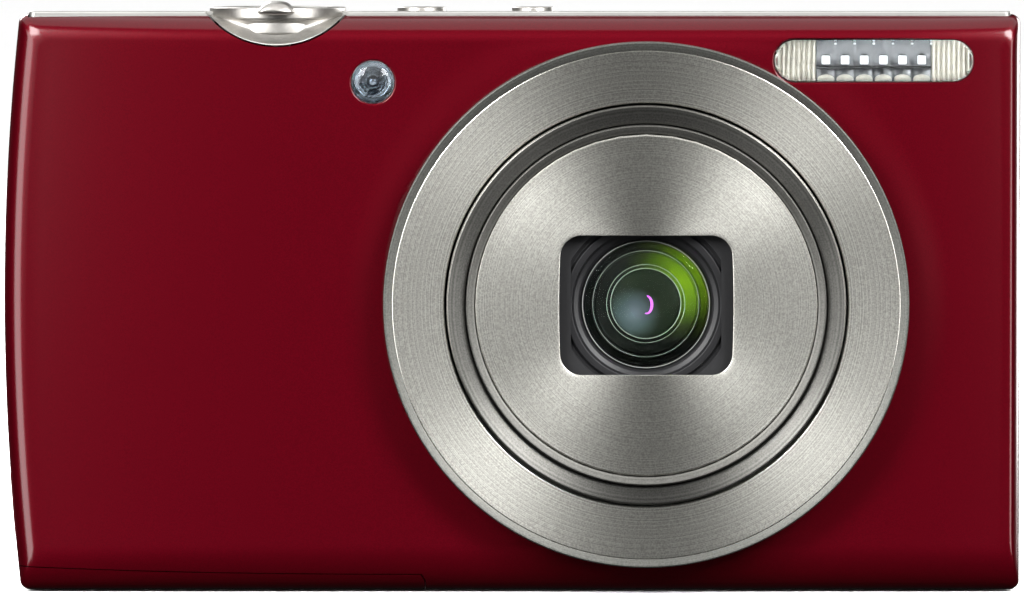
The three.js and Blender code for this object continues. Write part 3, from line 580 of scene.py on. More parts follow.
def front_skin():
    """The front cover as a closed shell with the lens hole through it, before its other holes."""
    hole_radius = RING_RADIUS - 2.4
    turns = 14
    outer = []
    face_edge = body_outline(FRONT_ROUND)
    edge_relief = front_relief(face_edge[:, 0], face_edge[:, 1])
    outer.append(ring_points(body_outline(even(0.0)), SPLIT - SEAM))
    for k in range(turns + 1):
        angle = math.pi / 2 * (1 - k / turns)
        inset = {side: amount * (1 - math.sin(angle)) for side, amount in FRONT_ROUND.items()}
        y = FRONT + FRONT_DEPTH * (1 - math.cos(angle)) + edge_relief * math.cos(angle)
        outer.append(ring_points(body_outline(inset), y))
    centre = np.array([LENS.x, LENS.z])
    away = face_edge - centre
    circle = centre + away / np.linalg.norm(away, axis=1)[:, None] * hole_radius
    steps = 64
    for k in range(1, steps + 1):
        t = (k / steps) ** 0.8
        flat = face_edge + (circle - face_edge) * t
        outer.append(ring_points(flat, FRONT + front_relief(flat[:, 0], flat[:, 1])))
    inner = []
    inner_edge = body_outline({side: amount + WALL * 0.6 for side, amount in FRONT_ROUND.items()})
    inner.append(ring_points(circle, FRONT + WALL))
    inner.append(ring_points(inner_edge, FRONT + WALL + edge_relief))
    inner.append(ring_points(body_outline(even(WALL)), FRONT + WALL + FRONT_DEPTH))
    inner.append(ring_points(body_outline(even(WALL)), SPLIT - SEAM))
    return loft("front_skin", outer + inner, closed=True, sharp=50)


def rear_skin():
    """The rear cover as an open-fronted tray, before its holes."""
    turns = 10
    outer = [ring_points(body_outline(even(0.0)), SPLIT + SEAM / 2)]
    for k in range(turns + 1):
        angle = math.pi / 2 * k / turns
        inset = REAR_ROUND * (1 - math.cos(angle))
        outer.append(ring_points(body_outline(even(inset)), REAR - REAR_ROUND * (1 - math.sin(angle))))
    inner = [
        ring_points(body_outline(even(REAR_ROUND + 0.4)), REAR - WALL),
        ring_points(body_outline(even(WALL)), REAR - REAR_ROUND - 0.4),
        ring_points(body_outline(even(WALL)), SPLIT + SEAM / 2),
    ]
    count = len(outer[0])
    rings = outer + inner
    points = [p for ring in rings for p in ring]
    faces = []
    last_outer = len(outer) - 1
    for r in range(len(rings)):
        if r == last_outer:
            continue
        a0 = r * count
        b0 = ((r + 1) % len(rings)) * count
        for k in range(count):
            n = (k + 1) % count
            faces.append((a0 + k, a0 + n, b0 + n, b0 + k))
    faces.append(tuple(range(last_outer * count, (last_outer + 1) * count)))
    faces.append(tuple(reversed(range((last_outer + 1) * count, (last_outer + 2) * count))))
    return make_object("rear_skin", points, faces, sharp=50)


# ---------------------------------------------------------------- cutters


def block(name, x0, x1, y0, y1, z0, z1):
    centre = ((x0 + x1) / 2, (y0 + y1) / 2)
    return slab(name, centre, ((x1 - x0) / 2, (y1 - y0) / 2), 0.02, z0, z1, 0.0, axis="Z", steps=1)


def mouth(name, centre, halves, corner, surface, depth, lip=0.18):
    """A cutter for a hole in the front face, whose mouth widens in a small round lip."""
    rings = []
    steps = 6
    for k in range(steps + 1):
        angle = math.pi / 2 * k / steps
        grow = lip * (1 - math.sin(angle))
        y = surface + lip * (1 - math.cos(angle))
        rings.append((grow, y))
    rings.insert(0, (lip, surface - 3.0))
    rings.append((0.0, depth))
    lofted = []
    for grow, y in rings:
        shape = rounded_rectangle(halves[0] + grow, halves[1] + grow, corner + grow, 14)
        lofted.append([(centre.x + a, y, centre.z + b) for a, b in shape])
    return loft(name, lofted)


DOOR_LOW, DOOR_HIGH = box("battery_door")
SEAM_LEFT = DOOR_HIGH.z  # the seam's height at the left side
SEAM_RIGHT = 1.54  # and near its right end
DOOR_STEP = 0.9


def door_cutter(name, grow):
    """The region of the battery door: below a seam that rises gently to the left."""
    right = DOOR_HIGH.x + grow
    top = [(right, DOOR_STEP + grow), (right - 0.35, SEAM_RIGHT + grow)]
    steps = 24
    for k in range(steps + 1):
        t = k / steps
        x = (right - 1.1) + (-HALF_WIDTH - (right - 1.1)) * t
        z = SEAM_RIGHT + (SEAM_LEFT - SEAM_RIGHT) * t**2.2
        top.append((x, z + grow))
    top.append((-HALF_WIDTH - 5, SEAM_LEFT + grow))
    outline = [(-HALF_WIDTH - 5, -5.0), (right, -5.0)] + top
    rings = [[(x, y, z) for x, z in outline] for y in (FRONT - 5, DOOR_HIGH.y + grow)]
    return loft(name, rings)


PLATE_LOW, PLATE_HIGH = box("top_cover")
SCOOP_RADIUS = 8.5
SCOOP_CENTRE = 59.55
SCOOP_BACK = -2.9
DISH_RADIUS = 6.05
DISH_LOW = 51.1
PAST = 5.0  # how far cutters reach past the body


def strip_cutter(name, grow):
    return block(
        name,
        PLATE_LOW.x - grow,
        PLATE_HIGH.x + grow,
        PLATE_LOW.y - grow,
        PLATE_HIGH.y + grow,
        PLATE_LOW.z - 0.4,
        HEIGHT + PAST,
    )


def scoop_cutter(name, grow):
    """The round bite in the front cover's top edge."""
    radius = SCOOP_RADIUS + grow
    profile = [(0, FRONT - 3), (radius, FRONT - 3), (radius, SCOOP_BACK), (0, SCOOP_BACK)]
    return turned(name, (SHUTTER.x, 0, SCOOP_CENTRE), profile, segments=240)


def drill(name, centre, radius, low, high, segments, axis):
    """A round cutter from low to high along an axis."""
    profile = [(0, low), (radius, low), (radius, high), (0, high)]
    return turned(name, centre, profile, segments, axis=axis)


def dish_cutter(name, grow):
    """The round hole under the zoom lever."""
    centre = (SHUTTER.x, SHUTTER.y, 0)
    return drill(name, centre, DISH_RADIUS + grow, DISH_LOW, HEIGHT + PAST, 96, "Z")


def side_cutter(node, grow, rear_room):
    """The hole for a flap in the left side, with room behind its hinge."""
    low, high = box(node)
    front = low.y - grow
    rear = high.y + rear_room
    return block("side_cut", -HALF_WIDTH - PAST, high.x + 0.1, front, rear, low.z - grow, high.z + grow)


def bush_cutter():
    radius = half_size("tripod_bush").x + SEAM
    return drill("bush_cut", middle("tripod_bush"), radius, -PAST, 3, 64, "Z")


# ---------------------------------------------------------------- covers


REAR_BUTTONS = ("movie_button", "playback_button", "menu_button", "help_button")


def build_front_cover():
    skin_object = front_skin()
    skin = Skin(skin_object)
    door = copy_of(skin_object, "battery_door_skin")
    cover = skin_object
    cover.name = "front_shell"
    surface = FRONT + 0.02
    flash_halves = (FLASH_HALF.x + 0.08, FLASH_HALF.z + 0.08)
    flash_mouth = mouth("flash_mouth", FLASH, flash_halves, FLASH_HALF.z, surface, 0.0)
    lamp_hole = LAMP_RADIUS + 0.06
    lamp_mouth = mouth("lamp_mouth", LAMP, (lamp_hole, lamp_hole), lamp_hole, surface, 0.0)
    cut(
        cover,
        flash_mouth,
        lamp_mouth,
        strip_cutter("strip_cut", SEAM),
        dish_cutter("dish_cut", SEAM),
        scoop_cutter("scoop_cut", SEAM),
        door_cutter("door_cut", SEAM),
        bush_cutter(),
        side_cutter("supply_cover", SEAM, 0.5),
    )
    skin.dress(cover)
    finish_piece(cover, "case", RED, "red_paint", "front_cover")

    cut(door, door_cutter("door_keep", 0.0), kind="INTERSECT")
    skin.dress(door)
    finish_piece(door, "battery_door", RED, "red_paint", "battery_door")
    centre = ((DOOR_LOW.x + DOOR_HIGH.x) / 2 + 0.4, (DOOR_HIGH.y + SPLIT) / 2 - 0.2)
    halves = ((DOOR_HIGH.x - DOOR_LOW.x) / 2 - 0.4, (DOOR_HIGH.y - SPLIT) / 2 + 0.2)
    floor = slab("battery_door_floor", centre, halves, 0.5, 1.3, 0.0, 0.15, axis="Z")
    finish_piece(floor, "battery_door", RED, "red_paint")


def build_rear_cover():
    rear = rear_skin()
    skin = Skin(rear)
    rear.name = "rear_shell"
    centre, halves = outline_of("screen_window")
    halves = (halves[0] + SEAM, halves[1] + SEAM)
    window_hole = slab("window_cut", centre, halves, 1.5, REAR + 2, 5.0, 0.0)
    cutters = [window_hole, strip_cutter("strip_cut", SEAM), bush_cutter()]
    for node in REAR_BUTTONS:
        radius = half_size(node).x - 0.6 + SEAM
        mouth_radius = radius + 0.3
        profile = [(0, 5), (radius, 5), (radius, REAR - 0.25)]
        profile += [(mouth_radius, REAR + 0.05), (mouth_radius, REAR + 2), (0, REAR + 2)]
        cutters.append(turned("button_cut", middle(node), profile, 48))
    pad_radius = PAD_RADIUS + SEAM
    profile = [(0, 5), (pad_radius, 5), (pad_radius, REAR - 0.3), (pad_radius + 0.35, REAR + 0.05)]
    cutters.append(turned("pad_cut", PAD, profile + [(pad_radius + 0.35, REAR + 2), (0, REAR + 2)], 96))
    bay_rear = box("door_bracket")[1].y + 0.15
    cutters.append(block("hinge_bay", -46.4, DOOR_HIGH.x + SEAM, 0.0, bay_rear, -PAST, 1.6))
    cutters.append(door_cutter("door_cut", SEAM))
    cutters.append(side_cutter("terminal_cover", SEAM, 0.3))
    outside = -HALF_WIDTH - PAST
    inside = -45
    cutters.append(block("plug_cut", outside, inside, 3.6, 7.4, 20, 34))
    cutters.append(slab("strap_cut", (5.5, 44.75), (2.5, 3.25), 0.8, outside, inside, 0.0, axis="X"))
    screw_radius = 1.6
    for node in ("side_screw_lower", "side_screw_upper"):
        cutters.append(drill("screw_cut", middle(node), screw_radius, 46, 55, 32, "X"))
    for node in ("bottom_screw_left", "bottom_screw_right"):
        cutters.append(drill("screw_cut", middle(node), screw_radius, -PAST, 2, 32, "Z"))
    cut(rear, *cutters)
    skin.dress(rear)
    finish_piece(rear, "case", RED, "red_paint", "rear_cover")


def build_top_strip():
    centre = ((PLATE_LOW.x + PLATE_HIGH.x) / 2, (PLATE_LOW.y + PLATE_HIGH.y) / 2)
    halves = ((PLATE_HIGH.x - PLATE_LOW.x) / 2, (PLATE_HIGH.y - PLATE_LOW.y) / 2)
    strip = slab("top_strip", centre, halves, 0.6, PLATE_LOW.z, PLATE_HIGH.z, 0.18, axis="Z")
    fall = 0.26  # the top surface drops a little towards the back
    for vertex in strip.data.vertices:
        if vertex.co.z > HEIGHT * MM:
            vertex.co.z -= fall * MM * (vertex.co.y / MM - PLATE_LOW.y) / (PLATE_HIGH.y - PLATE_LOW.y)
    cutters = [dish_cutter("dish_cut", SEAM), scoop_cutter("scoop_cut", SEAM)]
    for node in ("power_button", "auto_zoom_button"):
        radius = half_size(node).x - 0.5 + SEAM
        mouth_radius = radius + 0.2
        top = PLATE_HIGH.z
        profile = [(0, 50), (radius, 50), (radius, top - 0.15)]
        profile += [(mouth_radius, top + 0.05), (mouth_radius, 60), (0, 60)]
        cutters.append(turned("button_cut", middle(node), profile, 48, axis="Z"))
    for k in range(4):
        cutters.append(slab("slot_cut", (36.3 + 1.6 * k, 2.5), (0.3, 2.0), 0.3, 50, 60, 0.0, axis="Z"))
    for x in (12.0, 14.0):
        cutters.append(drill("sound_cut", (x, 1.8, 0), 0.4, 50, 60, 24, "Z"))
    cut(strip, *cutters)
    finish_piece(strip, "case", STRIP_METAL, "satin_silver", "top_cover")


# ---------------------------------------------------------------- shutter group


def build_shutter_trim():
    """The crescent: a concave scoop between a rim under the zoom lever and a lip on the front face."""
    radius = SCOOP_RADIUS - SEAM
    top = 53.95
    reach = math.acos((SCOOP_CENTRE - top) / radius)
    across = 64
    down = 24
    front = []
    for i in range(across + 1):
        u = -1 + 2 * i / across
        angle = reach * u
        x = SHUTTER.x + radius * math.sin(angle)
        lip_z = SCOOP_CENTRE - radius * math.cos(angle)
        edge_drop = max(0.0, (lip_z - (HEIGHT - FRONT_ROUND["top"])) / FRONT_ROUND["top"])
        lip_y = FRONT + FRONT_DEPTH * (1 - math.sqrt(max(0.0, 1 - edge_drop**2)))
        offset = x - SHUTTER.x
        rim_y = SHUTTER.y - math.sqrt(max(0.0, 6.45**2 - offset**2)) + 0.35
        rim_z = 53.40 + 0.5 * u * u
        column = []
        for j in range(down + 1):
            v = j / down
            y = rim_y + (lip_y - rim_y) * v
            z = rim_z + (lip_z - rim_z) * v
            hollow = 0.95 * math.sin(math.pi * v**0.7) * (1 - u * u)
            lip = 0.12 * math.exp(-(((v - 0.95) / 0.04) ** 2)) * (1 - u**8)
            column.append((x, y + hollow - lip, z))
        front.append(column)
    back_y = -2.6
    points = []
    faces = []
    rows = down + 1
    for column in front:
        points += column
    offset = len(points)
    for column in front:
        points += [(x, back_y, z) for x, y, z in column]
    for i in range(across):
        for j in range(down):
            a = i * rows + j
            faces.append((a, a + 1, a + rows + 1, a + rows))
            b = offset + a
            faces.append((b, b + rows, b + rows + 1, b + 1))
        for j in (0, down):
            a = i * rows + j
            quad = (a, a + rows, offset + a + rows, offset + a)
            faces.append(quad if j == 0 else tuple(reversed(quad)))
    for i in (0, across):
        for j in range(down):
            a = i * rows + j
            quad = (a, offset + a, offset + a + 1, a + 1)
            faces.append(quad if i == 0 else tuple(reversed(quad)))
    crescent = make_object("shutter_crescent", points, faces, sharp=60)
    finish_piece(crescent, "case", TRIM_METAL, "satin_silver", "shutter_trim")
    seat_profile = soften([(3.35, 52.2), (5.6, 52.2), (5.6, 53.6), (3.35, 53.6)], 0.12)
    seat = turned("shutter_seat", (SHUTTER.x, SHUTTER.y, 0), seat_profile, 96, axis="Z")
    finish_piece(seat, "case", TRIM_METAL, "satin_silver")


def build_zoom_lever():
    centre = (SHUTTER.x, SHUTTER.y, 0)
    outer = 6.4
    inner = 3.45
    low = 53.75
    profile = [(inner, low), (outer, low), (outer, 54.62), (outer - 1.2, 54.66), (inner, 54.35)]
    ring = turned("zoom_lever_ring", centre, soften(profile, 0.16), 128, axis="Z")
    dip = 0.24  # the ring's skirt hangs lowest at the front, below the finger tab
    for vertex in ring.data.vertices:
        x = vertex.co.x / MM - SHUTTER.x
        y = vertex.co.y / MM - SHUTTER.y
        if vertex.co.z < 54.3 * MM and y < 0:
            vertex.co.z -= dip * MM * (y / math.hypot(x, y)) ** 2
    finish_piece(ring, "zoom_lever", BUTTON_METAL, "satin_silver", "zoom_lever")

    tab_rings = []
    steps = 18
    for k in range(steps + 1):
        t = k / steps
        y = SHUTTER.y - 4.6 - 3.35 * t
        grow = math.sqrt(max(0.0, 1 - t**6))
        half_top = 1.05 * (0.75 + 0.25 * grow)
        half_foot = 2.05 * (0.80 + 0.20 * grow)
        low = 53.95 + 0.25 * (1 - grow)
        high = 54.6 + 0.65 * grow
        shape = []
        count = 40
        for m in range(count):
            angle = 2 * math.pi * m / count
            a = math.copysign(abs(math.cos(angle)) ** 0.7, math.cos(angle))
            b = math.copysign(abs(math.sin(angle)) ** 0.55, math.sin(angle))
            height = (b + 1) / 2
            half = half_foot + (half_top - half_foot) * height
            shape.append((SHUTTER.x + a * half, y, low + (high - low) * height))
        tab_rings.append(shape)
    tab = loft("zoom_lever_tab", tab_rings, sharp=70)
    finish_piece(tab, "zoom_lever", BUTTON_METAL, "satin_silver")


def build_top_buttons():
    low, high = box("shutter_button")
    profile = [(0, low.z), (1.2, low.z), (1.2, 52.6), (3.15, 52.6), (3.15, 54.3)]
    steps = 8
    rim = 54.42
    for a in np.linspace(0, math.pi / 2, steps)[:-1]:
        profile.append((3.0 * math.cos(a), rim + (high.z - rim) * math.sin(a)))
    profile.append((0, high.z))
    shutter = turned("shutter_cap", (SHUTTER.x, SHUTTER.y, 0), profile, 96, axis="Z", sharp=50)
    finish_piece(shutter, "shutter_button", BUTTON_METAL, "satin_silver", "shutter_button")
    for node in ("power_button", "auto_zoom_button"):
        low, high = box(node)
        radius = (high.x - low.x) / 2 - 0.5
        outline = [
            (0, low.z),
            (radius + 0.5, low.z),
            (radius + 0.5, low.z + 0.4),
            (radius, low.z + 0.4),
            (radius, high.z),
            (radius * 0.8, high.z),
            (0, high.z - 0.12),
        ]
        cap = turned(node + "_cap", middle(node), soften(outline, 0.16), 64, axis="Z")
        finish_piece(cap, node, BUTTON_METAL, "satin_silver", node)


# ---------------------------------------------------------------- lens


def build_lens_ring():
    """The spun face, dished a little inwards, and the lip that slopes in towards it, its metal toned
    darker as painted shade.
    """
    front = RING_LOW.y
    inner = 18.82
    face_radius = RING_RADIUS - 0.82
    face_front = front + 0.2
    inward = 0.24
    face = [
        (inner, -6.2),
        (inner, face_front + inward + 0.12),
        (inner + 0.12, face_front + inward),
        (face_radius, face_front),
        (face_radius, face_front + 0.8),
        (inner + 2.0, face_front + 0.8),
        (inner + 2.0, -6.2),
    ]
    ring = turned("lens_ring_face", LENS, soften(face, 0.08), 256, sharp=25)
    finish_piece(ring, "case", RING_METAL, "satin_silver", "lens_ring")
    foot = FRONT + 0.05
    lip = [
        (face_radius + 0.02, face_front + 0.04),
        (RING_RADIUS - 0.10, front + 0.04),
        (RING_RADIUS, front + 0.12),
        (RING_RADIUS, foot),
        (inner + 2.1, foot),
        (inner + 2.1, face_front + 0.82),
        (face_radius + 0.02, face_front + 0.82),
    ]
    edge = turned("lens_ring_lip", LENS, soften(lip, 0.06), 256, sharp=25)
    finish_piece(edge, "case", SHADED_BEVEL_METAL, "satin_silver")


def build_barrels():
    low, high = box("outer_barrel")
    radius = half_size("outer_barrel").x
    bore = 16.92
    sleeve = 17.0
    profile = [
        (bore, low.y + 0.36),
        (bore + 0.1, low.y + 0.28),
        (radius - 0.14, low.y),
        (radius, low.y + 0.12),
        (radius, high.y),
        (sleeve, high.y),
        (sleeve, low.y + 1.0),
        (bore, low.y + 1.0),
    ]
    outer = turned("outer_barrel_turned", LENS, soften(profile, 0.12), 256, sharp=25)
    finish_piece(outer, "outer_barrel", BARREL_METAL, "satin_silver", "outer_barrel")
    low, high = box("inner_barrel")
    radius = half_size("inner_barrel").x
    profile = [
        (15.98, low.y + 0.32),
        (16.05, low.y + 0.24),
        (radius - 0.12, low.y + 0.02),
        (radius, low.y + 0.12),
        (radius, high.y),
        (15.6, high.y),
        (15.6, low.y + 1.0),
        (15.98, low.y + 1.0),
    ]
    inner = turned("inner_barrel_turned", LENS, soften(profile, 0.08), 256, sharp=25)
    finish_piece(inner, "inner_barrel", RIM_METAL, "satin_silver", "inner_barrel")


APERTURE = (8.15, 6.5)


def aperture_outline(grow, steps=14):
    """The opening's outline: a rounded rectangle whose left and right sides bow out a little."""
    half_a = APERTURE[0] + grow
    half_b = APERTURE[1] + grow
    points = rounded_rectangle(half_a - 0.22, half_b, 1.9 + grow, steps)
    dense = []
    for k, (a, b) in enumerate(points):
        after = points[(k + 1) % len(points)]
        pieces = 12 if math.dist((a, b), after) > 3 else 1
        for s in range(pieces):
            t = s / pieces
            dense.append((a + (after[0] - a) * t, b + (after[1] - b) * t))
    bowed = []
    for a, b in dense:
        bow = 0.22 * (1 - (b / half_b) ** 2)
        bowed.append((a + math.copysign(bow, a) * min(1.0, abs(a) / half_a) ** 6, b))
    return bowed


def build_front_plate():
    """The turned front disc, made as a skin from its opening to its rim."""
    low, high = box("front_plate")
    radius = 15.92
    front = low.y
    back = high.y
    opening = aperture_outline(0.0)
    angles = [math.atan2(b, a) for a, b in opening]

    def ring(amount, grow, y):
        inner = aperture_outline(grow)
        out = []
        for (a, b), angle in zip(inner, angles):
            ca = radius * math.cos(angle)
            cb = radius * math.sin(angle)
            out.append((LENS.x + a + (ca - a) * amount, y, LENS.z + b + (cb - b) * amount))
        return out

    rings = [ring(0.0, 0.0, back), ring(0.0, 0.0, front + 0.11)]
    edge_steps = 4
    for k in range(1, edge_steps + 1):
        angle = math.pi / 2 * k / edge_steps
        rings.append(ring(0.0, 0.05 * (1 - math.cos(angle)), front + 0.11 - 0.05 * math.sin(angle)))
    steps = 16
    for k in range(1, steps):
        t = k / steps
        rings.append(ring(t, 0.05, front + 0.06 - 0.03 * math.sin(math.pi * t)))
    rings.append(ring(0.985, 0.05, front + 0.05))
    rings.append(ring(1.0, 0.05, front + 0.17))
    rings.append(ring(1.0, 0.05, back))
    plate = loft("front_plate_turned", rings, closed=True, sharp=28)
    finish_piece(plate, "inner_barrel", PLATE_METAL, "satin_silver", "front_plate")


def painted_green_reflection_glass():
    """The glass behind the front element: near black, with a green reflection painted to one side."""
    paint = Paint("glass_painted_green_reflection", (0.004, 0.005, 0.003), 0.45)
    paint.set("Specular IOR Level", 0.04)
    near = paint.radius_from(LENS.x + 3.3, LENS.z + 2.0)
    painted_reflection = paint.ramp(
        paint.math("DIVIDE", near, 5.5 * MM),
        (0.0, (0.085, 0.14, 0.002)),
        (0.35, (0.05, 0.085, 0.002)),
        (0.75, (0.010, 0.014, 0.002)),
        (1.0, (0.002, 0.002, 0.002)),
    )
    paint.color(painted_reflection)
    return paint.material


def inner_element():
    """The small element in the middle: a bluish reflection painted to the lower left, dark elsewhere."""
    paint = Paint("inner_glass", (0.004, 0.004, 0.005), 0.45)
    paint.set("Specular IOR Level", 0.04)
    radius = paint.radius_from(LENS.x - 1.2, LENS.z - 1.0)
    painted_reflection = paint.ramp(
        paint.math("DIVIDE", radius, 2.6 * MM),
        (0.0, (0.055, 0.065, 0.085)),
        (0.4, (0.030, 0.038, 0.045)),
        (1.0, (0.004, 0.006, 0.003)),
    )
    paint.color(painted_reflection)
    return paint.material


def build_optics():
    bezel_front = box("lens_bezel")[0].y
    bezel = [
        (15.2, bezel_front),
        (15.2, -5.4),
        (6.05, -5.4),
        (6.05, bezel_front + 0.75),
        (6.35, bezel_front + 0.45),
        (6.75, bezel_front + 0.30),
        (6.95, bezel_front - 0.02),
        (7.55, bezel_front - 0.02),
        (7.75, bezel_front + 0.35),
        (8.15, bezel_front + 0.35),
        (8.3, bezel_front),
    ]
    obj = turned("lens_bezel_turned", LENS, soften(bezel, 0.06), 192, sharp=30)
    finish_piece(obj, "inner_barrel", BLACK_SATIN, "black_plastic", "lens_bezel")

    well = [
        (6.0, bezel_front + 0.7),
        (6.0, -5.6),
        (3.2, -5.6),
        (3.2, -6.6),
        (3.45, -6.6),
        (3.5, -6.3),
        (4.7, -6.9),
        (4.8, -7.2),
        (5.0, -7.2),
        (5.1, -7.0),
        (5.7, -7.6),
        (5.8, bezel_front + 0.6),
    ]
    # this ring carries the glass with its painted green reflection
    reflection_ring = turned("lens_ring_painted_reflection", LENS, soften(well, 0.05), 192, sharp=25)
    finish_piece(reflection_ring, "inner_barrel", painted_green_reflection_glass(), "glass")

    steps = 12
    bowl = [(3.25, -6.55)]
    for k in range(1, steps + 1):
        angle = math.pi / 2 * k / steps
        bowl.append((3.25 * math.cos(angle), -6.55 - 0.55 * math.sin(angle)))
    bowl[-1] = (0, -7.1)
    core = turned("lens_core", LENS, bowl + [(0, -5.7), (3.25, -5.7)], 128, sharp=40)
    finish_piece(core, "inner_barrel", inner_element(), "glass")

    # thin rings at the elements' real edges, toned a lighter grey than black plastic: painted highlights
    line = Paint("lens_edge_painted_highlight", (0.16, 0.17, 0.16), 0.5)
    mottled(line, (0.16, 0.17, 0.16), 0.3, 300.0)
    edges = [(5.92, -8.75, 0.05), (4.95, -7.3, 0.03), (3.64, -6.95, 0.03), (3.27, -6.72, 0.045)]
    around = np.linspace(0, 2 * math.pi, 9)[:-1]
    for number, (radius, y, half) in enumerate(edges):
        section = [(radius + half * math.cos(a), y + half * math.sin(a)) for a in around]
        edge = turned(f"lens_edge_{number + 1}", LENS, section, 160, sharp=180)
        finish_piece(edge, "inner_barrel", line.material, "black_plastic")

    # a faint violet crescent near the middle, made to emit: a painted glint standing in for a
    # reflection, not a lamp
    violet = Paint("violet_glow", (0.25, 0.02, 0.35), 0.2, Coat_Weight=1.0)
    violet.set("Emission Color", (0.55, 0.08, 0.75, 1.0))
    violet.set("Emission Strength", 0.5)
    violet.color(violet.ramp(violet.noise(2500.0), (0.3, (0.2, 0.015, 0.3)), (0.7, (0.3, 0.03, 0.4))))
    outline = []
    count = 24
    for k in range(count + 1):
        angle = math.radians(-110 + 200 * k / count)
        outline.append((0.60 * math.cos(angle), 0.88 * math.sin(angle)))
    for k in range(1, count):
        angle = math.radians(90 - 200 * k / count)
        outline.append((0.36 * math.cos(angle) - 0.02, 0.74 * math.sin(angle)))
    centre = (LENS.x + 0.1, LENS.z - 0.1)
    rings = [[(centre[0] + a, y, centre[1] + b) for a, b in outline] for y in (-7.05, -7.16)]
    crescent = loft("lens_violet_glint", rings)
    finish_piece(crescent, "inner_barrel", violet.material, "glass")

    low, high = box("front_lens")
    radius = 5.95
    dome = [(0, high.y - 1.0), (radius, high.y - 1.5), (radius, low.y + 0.75)]
    for k in range(1, steps):
        angle = math.pi / 2 * k / steps
        dome.append((radius * math.cos(angle), low.y + 0.75 - 0.72 * math.sin(angle)))
    dome.append((0, low.y + 0.03))
    glass = Paint("front_glass", (0.9, 1.0, 0.92), 0.0, Transmission_Weight=1.0, IOR=1.08)
    glass.rough(glass.span(glass.noise(200.0), 0.0, 0.01))
    front = turned("front_lens_glass", LENS, dome, 160, sharp=40)
    finish_piece(front, "inner_barrel", glass.material, "glass", "front_lens")


def build_barrier():
    """The blades, and the black frame whose corners show round the lens."""
    for side, up in (("upper", 1), ("lower", -1)):
        for role in ("leading", "trailing"):
            node = f"barrier_{side}_{role}"
            low, high = box(node)
            centre, halves = outline_of(node)
            plate = slab(node + "_plate", centre, halves, 0.5, high.y, low.y, 0.06, foot_edge=0.06)
            finish_piece(plate, node, BLACK_SATIN, "black_plastic", node)
    frame_front = -9.3
    outline = aperture_outline(0.6)
    angles = [math.atan2(b, a) for a, b in outline]
    frame_back = -9.22
    hole = 8.05
    flat_side = 7.0
    rings = []
    for radius, y in (
        (hole, frame_front + 0.08),
        (hole + 0.07, frame_front),
        (None, frame_front),
        (None, frame_back),
        (hole, frame_back),
    ):
        ring = []
        for (a, b), angle in zip(outline, angles):
            if radius:
                reach = min(radius, math.hypot(a, b) - 0.02)
                a = max(-flat_side, min(flat_side, reach * math.cos(angle)))
                b = reach * math.sin(angle)
            ring.append((LENS.x + a, y, LENS.z + b))
        rings.append(ring)
    guard = loft("barrier_frame", rings, closed=True, sharp=30)
    finish_piece(guard, "inner_barrel", BLACK_MATT, "black_plastic")


# ---------------------------------------------------------------- flash and lamp


def build_flash():
    """The ribbed insert, the clear window over it, and the bright trough and tube behind."""
    half = FLASH_HALF.x
    high = FLASH_HALF.z
    tint = (0.97, 0.99, 1.0)
    window_paint = Paint("flash_window_clear", tint, 0.05, Transmission_Weight=1.0, IOR=1.25)
    window_paint.rough(window_paint.span(window_paint.noise(300.0), 0.02, 0.06))
    centre = (FLASH.x, FLASH.z)
    window = slab("flash_window_clear", centre, (half, high), high, -6.3, -7.15, 0.22, steps=16)
    finish_piece(window, "case", window_paint.material, "clear_plastic", "flash_window")

    rib_paint = satin("rib_clear", (0.40, 0.38, 0.33), 0.35, 0.6, relief=0.0)
    trough_paint = satin("trough_silver", (0.12, 0.123, 0.127), 0.35, 1.0, relief=0.0)
    # white squares and dots on the insert's small bumps: real bumps with painted highlights
    facet_highlight_paint = satin("facet_painted_highlight", (0.62, 0.64, 0.66), 0.4, 0.0, relief=0.0)
    rib_count = 8
    rib_width = 0.47
    flute_count = 6
    ends = half - 0.12
    inner_end = ends - rib_count * rib_width
    left_edges = np.linspace(-ends, -inner_end, rib_count + 1)
    middle_edges = np.linspace(-inner_end, inner_end, flute_count + 1)
    right_edges = np.linspace(inner_end, ends, rib_count + 1)
    trough = fluted_panel("flash_trough", middle_edges, 0.10, -6.05)
    finish_piece(trough, "case", trough_paint, "steel", "flash_reflector", "flash_tube")
    for side, edges in (("left", left_edges), ("right", right_edges)):
        ribs = fluted_panel(f"flash_ribs_{side}", edges, 0.20, -6.25)
        finish_piece(ribs, "case", rib_paint, "clear_plastic")
    pitch = 2 * inner_end / flute_count
    back = -5.9
    steps = 10
    for k in range(flute_count):
        x = FLASH.x - inner_end + (k + 0.5) * pitch
        place = (x, FLASH.z + 0.05)
        square = slab(f"flash_facet_{k + 1}", place, (0.40, 0.42), 0.12, back, -6.22, 0.08)
        finish_piece(square, "case", facet_highlight_paint, "clear_plastic")
        place = (x + pitch / 2, FLASH.z + high - 0.35)
        dot = slab(f"flash_dot_{k + 1}", place, (0.12, 0.10), 0.08, back, -6.2, 0.04)
        finish_piece(dot, "case", facet_highlight_paint, "clear_plastic")
        foot = FLASH.z - high + 0.12
        outline = [(x - 0.8, foot), (x + 0.8, foot)]
        for a in np.linspace(0, math.pi, steps):
            outline.append((x + 0.8 * math.cos(a), foot + 0.06 + 0.45 * math.sin(a)))
        scallop = loft(f"flash_scallop_{k + 1}", [[(a, y, b) for a, b in outline] for y in (back, -6.2)])
        finish_piece(scallop, "case", rib_paint, "clear_plastic")
    bar = slab("flash_tube_bar", (FLASH.x, FLASH.z - 0.62), (inner_end, 0.09), 0.08, -5.9, -6.2, 0.06)
    finish_piece(bar, "case", BLACK_GLOSS, "glass")


